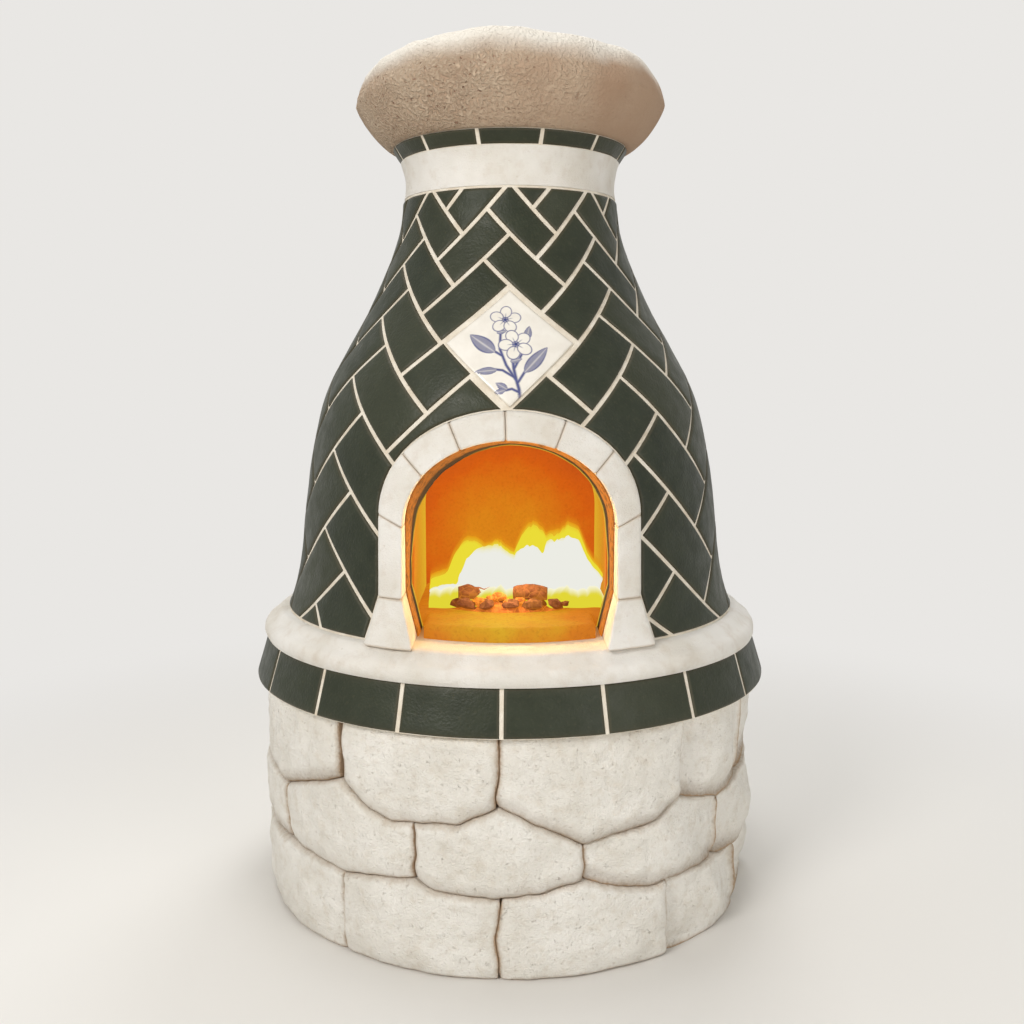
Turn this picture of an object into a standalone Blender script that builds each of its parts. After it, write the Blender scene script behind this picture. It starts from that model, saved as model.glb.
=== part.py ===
"""A bell-shaped tiled stove on a round rubble-stone base, in metres, +Z up, its front towards -Y.

The stove is modelled as a mason would build it: a core faced with three courses of field stones, a
ring of glazed tiles, a hearth shelf, a refractory bell clad in herringbone tiles round an arched
firebox, a plastered neck with a second tile ring and a butterfly damper, and a trowelled crown.
"""
import math

import bmesh
import bpy
import numpy as np
from mathutils import Matrix, Vector, noise
from mathutils.geometry import delaunay_2d_cdt

# Clearances and smoothness
GAP = 0.0003                      # between pieces that touch
MERGE = 0.00001                   # points closer than this are one point
TURN_STEPS = 48                   # facets round a turned piece
OVERCUT = 0.02                    # how far a cutter runs past what it cuts

# Stone base: joints in degrees from the front, lowest course first
CORE_STEPS = 96
BASE_HEIGHT = 0.430
STONE_FACE_RADIUS = 0.494
STONE_DEPTH = 0.094               # from the face to the core
STONE_CROWN = 0.006               # the middle of a face stands this far out
STONE_EDGE_RELIEF = 0.015         # and its arrises lie this far back
STONE_ROLL = 0.021                # width of the rounded border of a face
STONE_LUMPS = 0.006
STONE_JOINT = 0.003
COURSE_JOINTS = (
    (-37, -2, 35, 66, 110, 152, 194, 238, 280),
    (-58.5, -19.5, 15, 52.5, 88, 131, 173, 216, 259),
    (-37, -2, 38, 66, 110, 152, 194, 238, 280),
)
BED_HEIGHTS = (0.149, 0.268)      # joints between the courses
BED_WANDER = (                    # degrees from the front, rise over the bed's height
    ((-58.5, 0.003), (-37, -0.001), (-26, 0.010), (-19.5, 0.019), (-15, 0.000), (-2, -0.004),
     (6, 0.004), (15, 0.020), (23, -0.003), (30, -0.016), (35, -0.011), (46, -0.013),
     (52.5, -0.014), (66, -0.028), (88, 0.001), (110, -0.009), (131, 0.017), (152, -0.006),
     (173, 0.011), (194, -0.011), (216, 0.016), (238, -0.002), (259, -0.021), (280, 0.003)),
    ((-58.5, -0.006), (-37, 0.050), (-30, 0.010), (-24.5, -0.006), (-19.5, -0.002),
     (-10, 0.005), (-2, 0.036), (3, 0.013), (9, -0.010), (15, -0.036), (21.5, -0.025),
     (31, -0.016), (38, 0.014), (46, -0.006), (52.5, -0.018), (66, -0.010), (88, 0.017),
     (110, -0.006), (131, -0.030), (152, 0.013), (173, -0.006), (194, -0.021), (216, 0.016),
     (238, -0.006), (259, -0.025), (280, 0.008)),
)
LONGEST_CHORD = 11.0              # degrees between a stone's columns

# Tile ring under the shelf
BAND_HEIGHT = 0.080
BAND_OVERHANG = 0.018             # its foot stands out over the stones
BAND_LEAN = 0.024                 # and its top leans in by this
BAND_TILES = 18
BAND_FIRST_JOINT = -1.5           # degrees from the front
BAND_STEPS = 72
JOINT_WIDTH = 0.007
JOINT_DEPTH = 0.003               # how far a joint lies behind its tiles in the two tile rings

# Hearth shelf
SHELF_THICKNESS = 0.050
SHELF_OVERHANG = 0.006            # the shelf stands out over the tiles' top
SHELF_ROUNDING = 0.022
SHELF_FALL = 0.016                # the shelf's rim lies this far below the bell's foot
SHELF_FLAT_MARGIN = 0.006         # level border round the bell's foot

# Bell: height over the shelf, radius of the face of the joints
BELL_PROFILE = (
    (0.0, 0.446), (0.022, 0.436), (0.061, 0.4248), (0.111, 0.4158), (0.171, 0.4095), (0.23, 0.4023),
    (0.29, 0.3932), (0.349, 0.3812), (0.407, 0.3654), (0.446, 0.3495), (0.505, 0.3175),
    (0.583, 0.2736), (0.621, 0.2555), (0.68, 0.2302), (0.737, 0.2123), (0.793, 0.2053),
)
BELL_ROWS = 8                     # rings of facets up the bell's plain faces
CLADDING_BED = 0.012              # tile and mortar, behind the face of the joints
TILE_RISE = 0.0035
SHELL_THICKNESS = 0.060
THROAT_RADIUS = 0.076
LEDGE_THICKNESS = 0.060           # the shell's shoulder that carries the flue
LEDGE_SLOPE = 0.070

# Herringbone, set out on the unrolled bell so that its angles are kept
HERRINGBONE_COLUMNS = 8
FIRST_ROW = 5.5                   # degrees of rise on the unrolled bell
ROW_RISE = 19.0
ROW_GROWTH = 0.54
TILE_EDGE = 0.007                 # bare border at the bell's foot and neck
PICTURE_ROW = 3.5
PICTURE_HALF_ROWS = 0.91
PICTURE_HALF_WIDTH = 20.5         # degrees
PICTURE_RISE = 0.0045
PICTURE_SPLITS = 4

# Arch round the fire mouth: half width, springing and crown, heights over the shelf
ARCH_INNER = (0.182, 0.200, 0.348)
ARCH_OUTER = (0.225, 0.220, 0.397)
FOOT_HEIGHT = 0.080
FOOT_TOE = 0.025                  # a foot stone widens outwards by this
FOOT_HEEL = 0.019                 # and inwards by this
ARCH_PROUD = 0.030                # stone faces in front of the joints of the tiles
ARCH_BACK = 0.262                 # the stones' flat backs, in front of the stove's axis
ARCH_JOINTS = (180, 144, 117, 92, 65, 38, 0)     # degrees round the arch, from the left
ARCH_EDGE = 0.005
ARCH_STEPS = 3                    # lengths along each stone

# Firebox
LINING_INNER = (0.175, 0.190, 0.343)
LINING_THICKNESS = 0.030
FIREBOX_BACK = 0.030              # the back wall's face, behind the stove's axis
SMOKE_HOLE_WIDTH = 0.150
SMOKE_HOLE_DEPTH = 0.075
SMOKE_HOLE_SETBACK = 0.010
FLOOR_THICKNESS = 0.025
FLOOR_MOUTH_MARGIN = 0.013        # between the floor's lip and the foot stones
FLOOR_SIDE_FRONT = 0.355
FLOOR_LIP = 0.035                 # how far the lip's middle bows out
THROAT_RING_THICKNESS = 0.008
THROAT_RING_DEPTH = 0.080
THROAT_RING_FIT = 0.0006

# Fire bed
EMBER_WIDTH = 0.280
EMBER_DEPTH = 0.200
EMBER_HEIGHT = 0.020
EMBER_SETBACK = 0.165             # its middle, in front of the stove's axis
EMBER_TOP_SHARE = 0.80            # the bed's flat top, as a part of its plan
LOG_LENGTH = 0.230
LOG_THICKNESS = 0.050
LOG_HEIGHT = 0.046
STUB_LENGTH = 0.063
STUB_THICKNESS = 0.029
STUB_HEIGHT = 0.028
TOP_LOG_LENGTH = 0.150
TOP_LOG_THICKNESS = 0.044
TOP_LOG_HEIGHT = 0.040
FIREWOOD = (                      # size, place in widths and depths of the ember bed, degrees of turn
    (LOG_LENGTH, LOG_THICKNESS, LOG_HEIGHT, 0.0, 0.225, 4),
    (LOG_LENGTH, LOG_THICKNESS, LOG_HEIGHT, 0.02, -0.125, -5),
    (STUB_LENGTH, STUB_THICKNESS, STUB_HEIGHT, -0.23, -0.345, 12),
    (STUB_LENGTH, STUB_THICKNESS, STUB_HEIGHT, 0.135, -0.380, -9),
)
TOP_LOG = (TOP_LOG_LENGTH, TOP_LOG_THICKNESS, TOP_LOG_HEIGHT, 0.186, 0.185, 74)

# Neck
COLLAR_HEIGHT = 0.069
COLLAR_FOOT_RADIUS = 0.2075
COLLAR_TOP_RADIUS = 0.2140
NECK_BAND_HEIGHT = 0.026
NECK_BAND_TOP_RADIUS = 0.2300
NECK_CORE_RADIUS = 0.186
NECK_BAND_TILES = 12
NECK_BAND_FIRST_JOINT = -15.0     # degrees from the front
FLUE_BORE_RADIUS = 0.075
FLUE_WALL = 0.015
FLUE_ABOVE_CROWN = 0.018

# Crown
CROWN_FOOT_RADIUS = 0.233
CROWN_RADIUS = 0.297
CROWN_GIRTH_HEIGHT = 0.081
CROWN_HEIGHT = 0.150
CROWN_SHOULDER_RADIUS = 0.258
CROWN_BEVEL = 1.7                 # 1 rounds the crown's shoulder and underside, 2 bevels them flat
CROWN_CREST = 0.014               # the hump over the front
CREST_WIDTH = 0.10
CREST_SETTING = 0.19              # in front of the stove's axis
CROWN_LUMPS = 0.010

# Damper in the neck
SPINDLE_RADIUS = 0.007
SPINDLE_FIT = 0.0003
SPINDLE_PROUD = 0.008
PLATE_RADIUS = 0.0700
PLATE_THICKNESS = 0.004
PLATE_HUB_RADIUS = 0.012
PLATE_HUB_LENGTH = 0.110
HANDLE_LENGTH = 0.095
HANDLE_WIDTH = 0.016
HANDLE_THICKNESS = 0.009
HANDLE_EYE_RADIUS = 0.015
HANDLE_KNOB_RADIUS = 0.012
HANDLE_STAND_OFF = 0.014          # clear space between the handle and the tiles beside it

# Heights that follow
BAND_FOOT = BASE_HEIGHT + GAP
BAND_TOP = BAND_FOOT + BAND_HEIGHT
SHELF_FOOT = BAND_TOP + GAP
SHELF_TOP = SHELF_FOOT + SHELF_THICKNESS
ON_SHELF = SHELF_TOP + GAP
BELL_HEIGHT = BELL_PROFILE[-1][0]
BELL_TOP = SHELF_TOP + BELL_HEIGHT
COLLAR_FOOT = BELL_TOP + GAP
COLLAR_TOP = COLLAR_FOOT + COLLAR_HEIGHT
NECK_BAND_FOOT = COLLAR_TOP + GAP
NECK_TOP = NECK_BAND_FOOT + NECK_BAND_HEIGHT
CROWN_FOOT = NECK_TOP + GAP
CROWN_TOP = CROWN_FOOT + CROWN_HEIGHT
DAMPER_HEIGHT = COLLAR_FOOT + COLLAR_HEIGHT / 2
FLOOR_TOP = ON_SHELF + FLOOR_THICKNESS
EMBER_TOP = FLOOR_TOP + GAP + EMBER_HEIGHT

# Radii and depths that follow
FACET = math.cos(math.pi / TURN_STEPS)
CORE_RADIUS = STONE_FACE_RADIUS - STONE_DEPTH
BAND_FOOT_RADIUS = STONE_FACE_RADIUS + BAND_OVERHANG
BAND_TOP_RADIUS = BAND_FOOT_RADIUS - BAND_LEAN
SHELF_RADIUS = BAND_TOP_RADIUS + SHELF_OVERHANG
LINER_RADIUS = FLUE_BORE_RADIUS + FLUE_WALL
LINER_HOLE_RADIUS = LINER_RADIUS / FACET + GAP
SPINDLE_HOLE_RADIUS = SPINDLE_RADIUS + SPINDLE_FIT
LINING_FRONT = -(ARCH_BACK - GAP)
SPINDLE_FRONT = -(FLUE_BORE_RADIUS + FLUE_WALL / 2)

PIECES = bpy.data.collections.new("tiled_stove")
CUTTERS = bpy.data.collections.new("cutters")


def clear_scene():
    for thing in list(bpy.data.objects):
        bpy.data.objects.remove(thing, do_unlink=True)
    for group in (PIECES, CUTTERS):
        bpy.context.scene.collection.children.link(group)


def finish(name, colour, roughness, metallic=0.0):
    made = bpy.data.materials.new(name)
    made.use_nodes = True
    shader = made.node_tree.nodes["Principled BSDF"]
    shader.inputs["Base Color"].default_value = (*colour, 1.0)
    shader.inputs["Roughness"].default_value = roughness
    shader.inputs["Metallic"].default_value = metallic
    made.diffuse_color = (*colour, 1.0)
    return made


def place(name, data, material=None):
    """Adds an object: a piece of the stove with its material, or a cutter without one."""
    made = bpy.data.objects.new(name, data)
    if material:
        data.materials.append(material)
        PIECES.objects.link(made)
    else:
        CUTTERS.objects.link(made)
        made.hide_render = True
        made.display_type = "WIRE"
    return made


def to_mesh(name, bm, smooth=False):
    mesh = bpy.data.meshes.new(name)
    bmesh.ops.recalc_face_normals(bm, faces=bm.faces)
    bm.to_mesh(mesh)
    bm.free()
    if smooth:
        mesh.shade_smooth()
        mesh.set_sharp_from_angle(angle=math.radians(35))
    return mesh


def settle(made):
    """Turns an object's evaluated shape into its mesh, and clears its modifiers."""
    bpy.context.view_layer.update()
    shape = bpy.data.meshes.new_from_object(made.evaluated_get(bpy.context.evaluated_depsgraph_get()))
    made.modifiers.clear()
    made.data = shape
    return shape


def turned(name, profile, material=None, steps=TURN_STEPS, ring=True):
    """Turns a profile of (radius, height) points about Z. A ring's profile closes on itself."""
    mesh = bpy.data.meshes.new(name)
    edges = [(i, i + 1) for i in range(len(profile) - 1)]
    if ring:
        edges.append((len(profile) - 1, 0))
    mesh.from_pydata([(radius, 0.0, height) for radius, height in profile], edges, [])
    made = place(name, mesh, material)
    screw = made.modifiers.new("turn", "SCREW")
    screw.axis = "Z"
    screw.angle = math.tau
    screw.steps = steps
    screw.render_steps = steps
    screw.use_merge_vertices = True
    screw.merge_threshold = MERGE
    screw.use_smooth_shade = True
    return made


def slab(name, outline, low, high, material=None, upright=True):
    """A flat outline thickened from low to high: along Y if it stands upright, or else along Z."""
    curve = bpy.data.curves.new(name, "CURVE")
    curve.dimensions = "2D"
    curve.fill_mode = "BOTH"
    curve.extrude = (high - low) / 2
    spline = curve.splines.new("POLY")
    spline.points.add(len(outline) - 1)
    for point, (across, along) in zip(spline.points, outline):
        point.co = (across, along, 0.0, 1.0)
    spline.use_cyclic_u = True
    drawn = bpy.data.objects.new(name + " outline", curve)
    CUTTERS.objects.link(drawn)
    middle = (low + high) / 2
    drawn.location = (0, middle, 0) if upright else (0, 0, middle)
    drawn.rotation_euler = (math.pi / 2 if upright else 0, 0, 0)
    bpy.context.view_layer.update()
    mesh = bpy.data.meshes.new_from_object(drawn.evaluated_get(bpy.context.evaluated_depsgraph_get()))
    bm = bmesh.new()
    bm.from_mesh(mesh)
    bmesh.ops.remove_doubles(bm, verts=bm.verts, dist=MERGE)
    bmesh.ops.recalc_face_normals(bm, faces=bm.faces)
    bm.to_mesh(mesh)
    bm.free()
    made = place(name, mesh, material)
    made.matrix_world = drawn.matrix_world
    bpy.data.objects.remove(drawn, do_unlink=True)
    return made


def rod(name, radius, low, high, material=None, along="Y", steps=24, at=(0, 0, 0)):
    """A cylinder along Y or X, from low to high, through a point."""
    bm = bmesh.new()
    bmesh.ops.create_cone(bm, cap_ends=True, segments=steps, radius1=radius, radius2=radius,
                          depth=high - low)
    turn = Matrix.Rotation(math.pi / 2, 4, "X" if along == "Y" else "Y")
    middle = Vector((0, (low + high) / 2, 0) if along == "Y" else ((low + high) / 2, 0, 0))
    bmesh.ops.transform(bm, matrix=Matrix.Translation(middle) @ turn, verts=bm.verts)
    made = place(name, to_mesh(name, bm, smooth=True), material)
    made.location = at
    return made


def box(name, low, high, material=None):
    bm = bmesh.new()
    size = Vector(high) - Vector(low)
    middle = (Vector(high) + Vector(low)) / 2
    bmesh.ops.create_cube(bm, size=1.0)
    bmesh.ops.transform(bm, matrix=Matrix.Translation(middle) @ Matrix.Diagonal((*size, 1)), verts=bm.verts)
    return place(name, to_mesh(name, bm), material)


def boolean(piece, other, operation="DIFFERENCE"):
    change = piece.modifiers.new(operation.lower() + " " + other.name, "BOOLEAN")
    change.operation = operation
    change.solver = "EXACT"
    change.object = other


def round_the_front(radius, degrees, height):
    """The point at a radius, at an angle from the front towards +X, and at a height."""
    angle = math.radians(degrees)
    return Vector((radius * math.sin(angle), -radius * math.cos(angle), height))


def joint_cutters(name, joints, foot_radius, top_radius, foot, height):
    """Upright slots across the face of a tile ring, leaning as its tiles do."""
    bm = bmesh.new()
    for degrees in joints:
        made = bmesh.ops.create_cube(bm, size=1.0)["verts"]
        for vert in made:
            side, front, top = vert.co
            radius = top_radius if top > 0 else foot_radius
            lean = (top_radius - foot_radius) / height * OVERCUT
            radius += lean if top > 0 else -lean
            radius += OVERCUT if front < 0 else -JOINT_DEPTH
            level = foot + height + OVERCUT if top > 0 else foot - OVERCUT
            turn = Matrix.Rotation(math.radians(degrees), 3, "Z")
            vert.co = turn @ Vector((side * JOINT_WIDTH, -radius, level))
    return place(name, to_mesh(name, bm))


# Stone base

def bed(level, degrees):
    """Height of the joint under a course, or of the base's foot or top."""
    if level == 0:
        return 0.0
    if level > len(BED_HEIGHTS):
        return BASE_HEIGHT
    stations, rises = zip(*BED_WANDER[level - 1])
    return BED_HEIGHTS[level - 1] + float(np.interp(degrees, stations, rises, period=360))


def stone_stations():
    """The angles where any joint or bed turns, with long stretches split evenly."""
    turns = {joint % 360 for joints in COURSE_JOINTS for joint in joints}
    turns |= {degrees % 360 for wander in BED_WANDER for degrees, _ in wander}
    ordered = sorted(turns)
    stations = []
    for start, end in zip(ordered, ordered[1:] + [ordered[0] + 360]):
        parts = math.ceil((end - start) / LONGEST_CHORD)
        stations += [(start + (end - start) * i / parts) % 360 for i in range(parts)]
    return stations


def stone_columns(left, right):
    """The angles of a stone's columns: its ends, the rolls inside them and the shared stations."""
    inset = math.degrees(STONE_JOINT / 2 / STONE_FACE_RADIUS)
    roll = math.degrees(STONE_ROLL / STONE_FACE_RADIUS)
    inner = {left + roll, right - roll}
    for station in stone_stations():
        for turn in (station, station - 360, station + 360):
            if left + inset < turn < right - inset:
                inner.add(turn)
    return [left + inset, *sorted(inner), right - inset]


def border(distance):
    """1 on a stone's arris, falling to 0 where its rounded border ends."""
    return max(0.0, 1.0 - distance / STONE_ROLL) ** 2


def stone(name, course, left, right, material):
    columns = stone_columns(left, right)
    rows = (0.0, 0.14, 0.5, 0.86, 1.0)
    bm = bmesh.new()
    bmesh.ops.create_grid(bm, x_segments=len(columns) - 1, y_segments=len(rows) - 1, size=1)
    for vert in bm.verts:
        degrees = columns[round((vert.co.x + 1) / 2 * (len(columns) - 1))]
        share = rows[round((vert.co.y + 1) / 2 * (len(rows) - 1))]
        low = bed(course, degrees) + (STONE_JOINT / 2 if course else 0.0)
        high = bed(course + 1, degrees) - (STONE_JOINT / 2 if course < len(BED_HEIGHTS) else 0.0)
        height = low + (high - low) * share
        across = (degrees - left) / (right - left) * 2 - 1
        to_side = math.radians(min(degrees - left, right - degrees)) * STONE_FACE_RADIUS
        to_bed = min(height - low, high - height)
        edge = min(1.0, border(to_side) + border(to_bed))
        point = round_the_front(STONE_FACE_RADIUS, degrees, height)
        lump = STONE_LUMPS * noise.noise(point * 9.0) * (1 - edge)
        crown = STONE_CROWN * (1 - across ** 2) * (1 - (2 * share - 1) ** 2)
        radius = STONE_FACE_RADIUS + crown + lump - STONE_EDGE_RELIEF * edge
        vert.co = round_the_front(radius, degrees, height)
    chord = max(b - a for a, b in zip(columns, columns[1:]))
    back = (CORE_RADIUS + GAP) / math.cos(math.radians(chord / 2))
    pushed = bmesh.ops.extrude_face_region(bm, geom=bm.faces[:])["geom"]
    for vert in new_verts(pushed):
        plan = Vector((vert.co.x, vert.co.y)).normalized() * back
        vert.co = (plan.x, plan.y, vert.co.z)
    return place(name, to_mesh(name, bm, smooth=True), material)


def build_base(field_stone, mortar):
    turned("base_core", [(0, BAND_TOP), (CORE_RADIUS, BAND_TOP), (CORE_RADIUS, 0), (0, 0)], mortar,
           steps=CORE_STEPS, ring=False)
    for course, joints in enumerate(COURSE_JOINTS):
        for number, (left, right) in enumerate(zip(joints, joints[1:] + (joints[0] + 360,))):
            stone(f"base_stone_{course + 1}_{number + 1}", course, left, right, field_stone)


def build_band(glaze):
    inner = CORE_RADIUS / FACET + GAP
    ring = turned("shelf_tile_band", [(BAND_TOP_RADIUS, BAND_TOP), (BAND_FOOT_RADIUS, BAND_FOOT),
                                      (inner, BAND_FOOT), (inner, BAND_TOP)], glaze, steps=BAND_STEPS)
    joints = [BAND_FIRST_JOINT + 360 / BAND_TILES * i for i in range(BAND_TILES)]
    boolean(ring, joint_cutters("band_joints", joints, BAND_FOOT_RADIUS, BAND_TOP_RADIUS,
                                BAND_FOOT, BAND_HEIGHT))


def build_shelf(plaster):
    rim = SHELF_TOP - SHELF_FALL
    profile = [(0, SHELF_TOP), (BELL_PROFILE[0][1] + SHELF_FLAT_MARGIN, SHELF_TOP)]
    for degrees in (75, 45, 15, -20):
        angle = math.radians(degrees)
        profile.append((SHELF_RADIUS - SHELF_ROUNDING * (1 - math.cos(angle)),
                        rim - SHELF_ROUNDING * (1 - math.sin(angle))))
    profile += [(BAND_TOP_RADIUS, SHELF_FOOT), (0, SHELF_FOOT)]
    turned("hearth_shelf", profile, plaster, ring=False)


# Bell

def bell_radius(height):
    """Radius of the bell's joint face at a height over the shelf, smooth between its points."""
    heights = np.array([point[0] for point in BELL_PROFILE])
    radii = np.array([point[1] for point in BELL_PROFILE])
    slopes = np.gradient(radii, heights)
    height = min(max(height, heights[0]), heights[-1])
    at = int(np.clip(np.searchsorted(heights, height) - 1, 0, len(heights) - 2))
    span = heights[at + 1] - heights[at]
    t = (height - heights[at]) / span
    return float((1 + 2 * t) * (1 - t) ** 2 * radii[at] + t * (1 - t) ** 2 * span * slopes[at]
                 + t * t * (3 - 2 * t) * radii[at + 1] + t * t * (t - 1) * span * slopes[at + 1])


def unrolled_bell():
    """Heights up the bell and their rise in degrees on its unrolled face, where angles are kept."""
    heights = np.linspace(0, BELL_HEIGHT, 400)
    radii = np.array([bell_radius(height) for height in heights])
    steps = np.hypot(np.diff(heights), np.diff(radii)) / ((radii[1:] + radii[:-1]) / 2)
    return heights, np.concatenate([[0], np.degrees(np.cumsum(steps))])


UNROLLED_HEIGHTS, UNROLLED_RISE = unrolled_bell()


def row_rise(row):
    return FIRST_ROW + ROW_RISE * row + ROW_GROWTH * row * row


def row_height(row):
    return float(np.interp(row_rise(row), UNROLLED_RISE, UNROLLED_HEIGHTS))


def row_at(rise):
    """The row at a rise on the unrolled bell."""
    return (math.sqrt(ROW_RISE ** 2 + 4 * ROW_GROWTH * (rise - FIRST_ROW)) - ROW_RISE) / (2 * ROW_GROWTH)


def drawn_in(left, top, right, bottom, room):
    """The corners of a slanting tile, each side moved in by a length in metres."""
    row = (top[1] + bottom[1]) / 2
    degrees = math.degrees(room / bell_radius(row_height(row)))
    per_row = ROW_RISE + 2 * ROW_GROWTH * row
    slope = math.atan2((top[1] - left[1]) * per_row, top[0] - left[0])
    up = degrees / math.cos(slope) / per_row
    side = degrees / math.sin(slope)
    return [(left[0] + side, left[1]), (bottom[0], bottom[1] + up),
            (right[0] - side, right[1]), (top[0], top[1] - up)]


def herringbone(last_row):
    """Every tile of the herringbone, as corners of (degrees from the front, row)."""
    column = 360 / HERRINGBONE_COLUMNS
    tiles = []
    for k in range(-1, math.ceil(last_row) + 2):
        for i in range(-HERRINGBONE_COLUMNS // 2 - 1, HERRINGBONE_COLUMNS // 2 + 2):
            at = i * column
            tiles.append(drawn_in((at - 0.75 * column, k), (at - 0.25 * column, k + 1),
                                  (at, k + 0.5), (at - 0.5 * column, k - 0.5), JOINT_WIDTH / 2))
            tiles.append(drawn_in((at - 0.25 * column, k), (at, k + 0.5),
                                  (at + 0.5 * column, k - 0.5), (at + 0.25 * column, k - 1), JOINT_WIDTH / 2))
    return tiles


def diamond(half_width, half_rows):
    return [(-half_width, PICTURE_ROW), (0, PICTURE_ROW - half_rows),
            (half_width, PICTURE_ROW), (0, PICTURE_ROW + half_rows)]


def rectangle(low_row, high_row):
    return [(-180, low_row), (180, low_row), (180, high_row), (-180, high_row)]


def bell_sheet():
    """Triangles of the unrolled bell: points of (degrees, row), and faces marked by what they are."""
    low = row_at(0)
    high = row_at(UNROLLED_RISE[-1])
    per_row = ROW_RISE                # rows count as degrees while the sheet is divided
    foot_edge = math.degrees(TILE_EDGE / bell_radius(0)) / per_row
    neck_edge = math.degrees(TILE_EDGE / bell_radius(BELL_HEIGHT)) / per_row
    column = 360 / HERRINGBONE_COLUMNS
    outlines = [rectangle(low, high), rectangle(low + foot_edge, high - neck_edge),
                drawn_in(*[diamond(column / 2, 1.0)[i] for i in (0, 3, 2, 1)], JOINT_WIDTH / 2),
                diamond(PICTURE_HALF_WIDTH, PICTURE_HALF_ROWS)]
    outlines += herringbone(high)
    points, edges, faces = [], [], []
    for outline in outlines:
        faces.append(list(range(len(points), len(points) + len(outline))))
        points += outline
    lines = [[(degrees, low), (degrees, high)] for degrees in np.arange(-180, 181, column / 4)]
    left, bottom, right, top = diamond(PICTURE_HALF_WIDTH, PICTURE_HALF_ROWS)
    for i in range(1, PICTURE_SPLITS):
        share = i / PICTURE_SPLITS
        for a, b, c, d in ((left, top, bottom, right), (left, bottom, top, right)):
            lines.append([tuple(Vector(a).lerp(Vector(b), share)), tuple(Vector(c).lerp(Vector(d), share))])
    for line in lines:
        edges.append((len(points), len(points) + 1))
        points += line
    flat = [Vector((degrees, row * per_row)) for degrees, row in points]
    found, _, triangles, _, _, origins = delaunay_2d_cdt(flat, edges, faces, 1, 0.01)
    kept = []
    for triangle, origin in zip(triangles, origins):
        inside = set(origin)
        if 0 not in inside:
            continue
        if 3 in inside:
            kind = 2
        elif 1 in inside and 2 not in inside and inside - {0, 1, 2}:
            kind = 1
        else:
            kind = 0
        kept.append((tuple(triangle), kind))
    return [(point.x, point.y / per_row) for point in found], kept


def on_bell(degrees, row, proud=0.0):
    height = row_height(row)
    return round_the_front(bell_radius(height) + proud, degrees, SHELF_TOP + max(height, GAP))


def push_out(verts, distance):
    for vert in verts:
        plan = Vector((vert.co.x, vert.co.y))
        plan *= 1 + distance / plan.length
        vert.co = (plan.x, plan.y, vert.co.z)


def new_verts(geometry):
    return [item for item in geometry if isinstance(item, bmesh.types.BMVert)]


def tiled_face(sheet):
    """The whole bell as a solid, its herringbone tiles raised over the joints."""
    points, triangles = sheet
    bm = bmesh.new()
    kind = bm.faces.layers.int.new("kind")
    verts = [bm.verts.new(on_bell(*point)) for point in points]
    for triangle, what in triangles:
        bm.faces.new([verts[i] for i in triangle])[kind] = what
    bmesh.ops.delete(bm, geom=[vert for vert in bm.verts if not vert.link_faces], context="VERTS")
    bmesh.ops.remove_doubles(bm, verts=bm.verts, dist=MERGE)
    rims = [edge for edge in bm.edges if edge.is_boundary]
    bmesh.ops.holes_fill(bm, edges=rims, sides=0)
    tiles = [face for face in bm.faces if face[kind] == 1]
    raised = bmesh.ops.extrude_face_region(bm, geom=tiles)["geom"]
    push_out(new_verts(raised), TILE_RISE)
    bmesh.ops.delete(bm, geom=tiles, context="FACES")
    return to_mesh("bell_tile_cladding", bm)


def picture_patch(sheet):
    points, triangles = sheet
    bm = bmesh.new()
    verts = [bm.verts.new(on_bell(*point, proud=GAP)) for point in points]
    for triangle, what in triangles:
        if what == 2:
            bm.faces.new([verts[i] for i in triangle])
    bmesh.ops.delete(bm, geom=[vert for vert in bm.verts if not vert.link_faces], context="VERTS")
    raised = bmesh.ops.extrude_face_region(bm, geom=bm.faces[:])["geom"]
    push_out(new_verts(raised), PICTURE_RISE)
    return to_mesh("picture_tile", bm, smooth=True)


def bell_rows(inset, low=0.0, high=BELL_HEIGHT):
    """Points of (radius, height) down the bell's plain faces, at a depth behind its joints."""
    heights = [BELL_HEIGHT * i / BELL_ROWS for i in range(BELL_ROWS + 1)]
    inner = [height for height in heights if low < height < high]
    return [(bell_radius(height) - inset, SHELF_TOP + height) for height in [high, *reversed(inner), low]]


def build_bell(glaze, refractory, painted_glaze, mouth):
    sheet = bell_sheet()
    cladding = place("bell_tile_cladding", tiled_face(sheet), glaze)
    bedding = bell_rows(CLADDING_BED)
    top = (bedding[0][0], BELL_TOP + OVERCUT)
    foot = (bedding[-1][0], SHELF_TOP - OVERCUT)
    inside = turned("bell_inside", [(0, top[1]), top, *bedding, foot, (0, foot[1])], ring=False)
    boolean(cladding, inside)
    boolean(cladding, mouth)
    place("picture_tile", picture_patch(sheet), painted_glaze)

    outer = bell_rows(CLADDING_BED + GAP)
    outer[-1] = (outer[-1][0], ON_SHELF)
    chamber_top = BELL_HEIGHT - LEDGE_THICKNESS - LEDGE_SLOPE
    chamber = bell_rows(CLADDING_BED + GAP + SHELL_THICKNESS, high=chamber_top)[::-2]
    chamber[0] = (chamber[0][0], ON_SHELF)
    throat = [(THROAT_RADIUS, BELL_TOP - LEDGE_THICKNESS), (THROAT_RADIUS, BELL_TOP)]
    shell = turned("bell_shell", [*outer, *chamber, *throat], refractory)
    boolean(shell, mouth)


# Arch

def arch_point(shape, degrees):
    half_width, spring, crown = shape
    angle = math.radians(degrees)
    return Vector((half_width * math.cos(angle), spring + (crown - spring) * math.sin(angle)))


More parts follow.
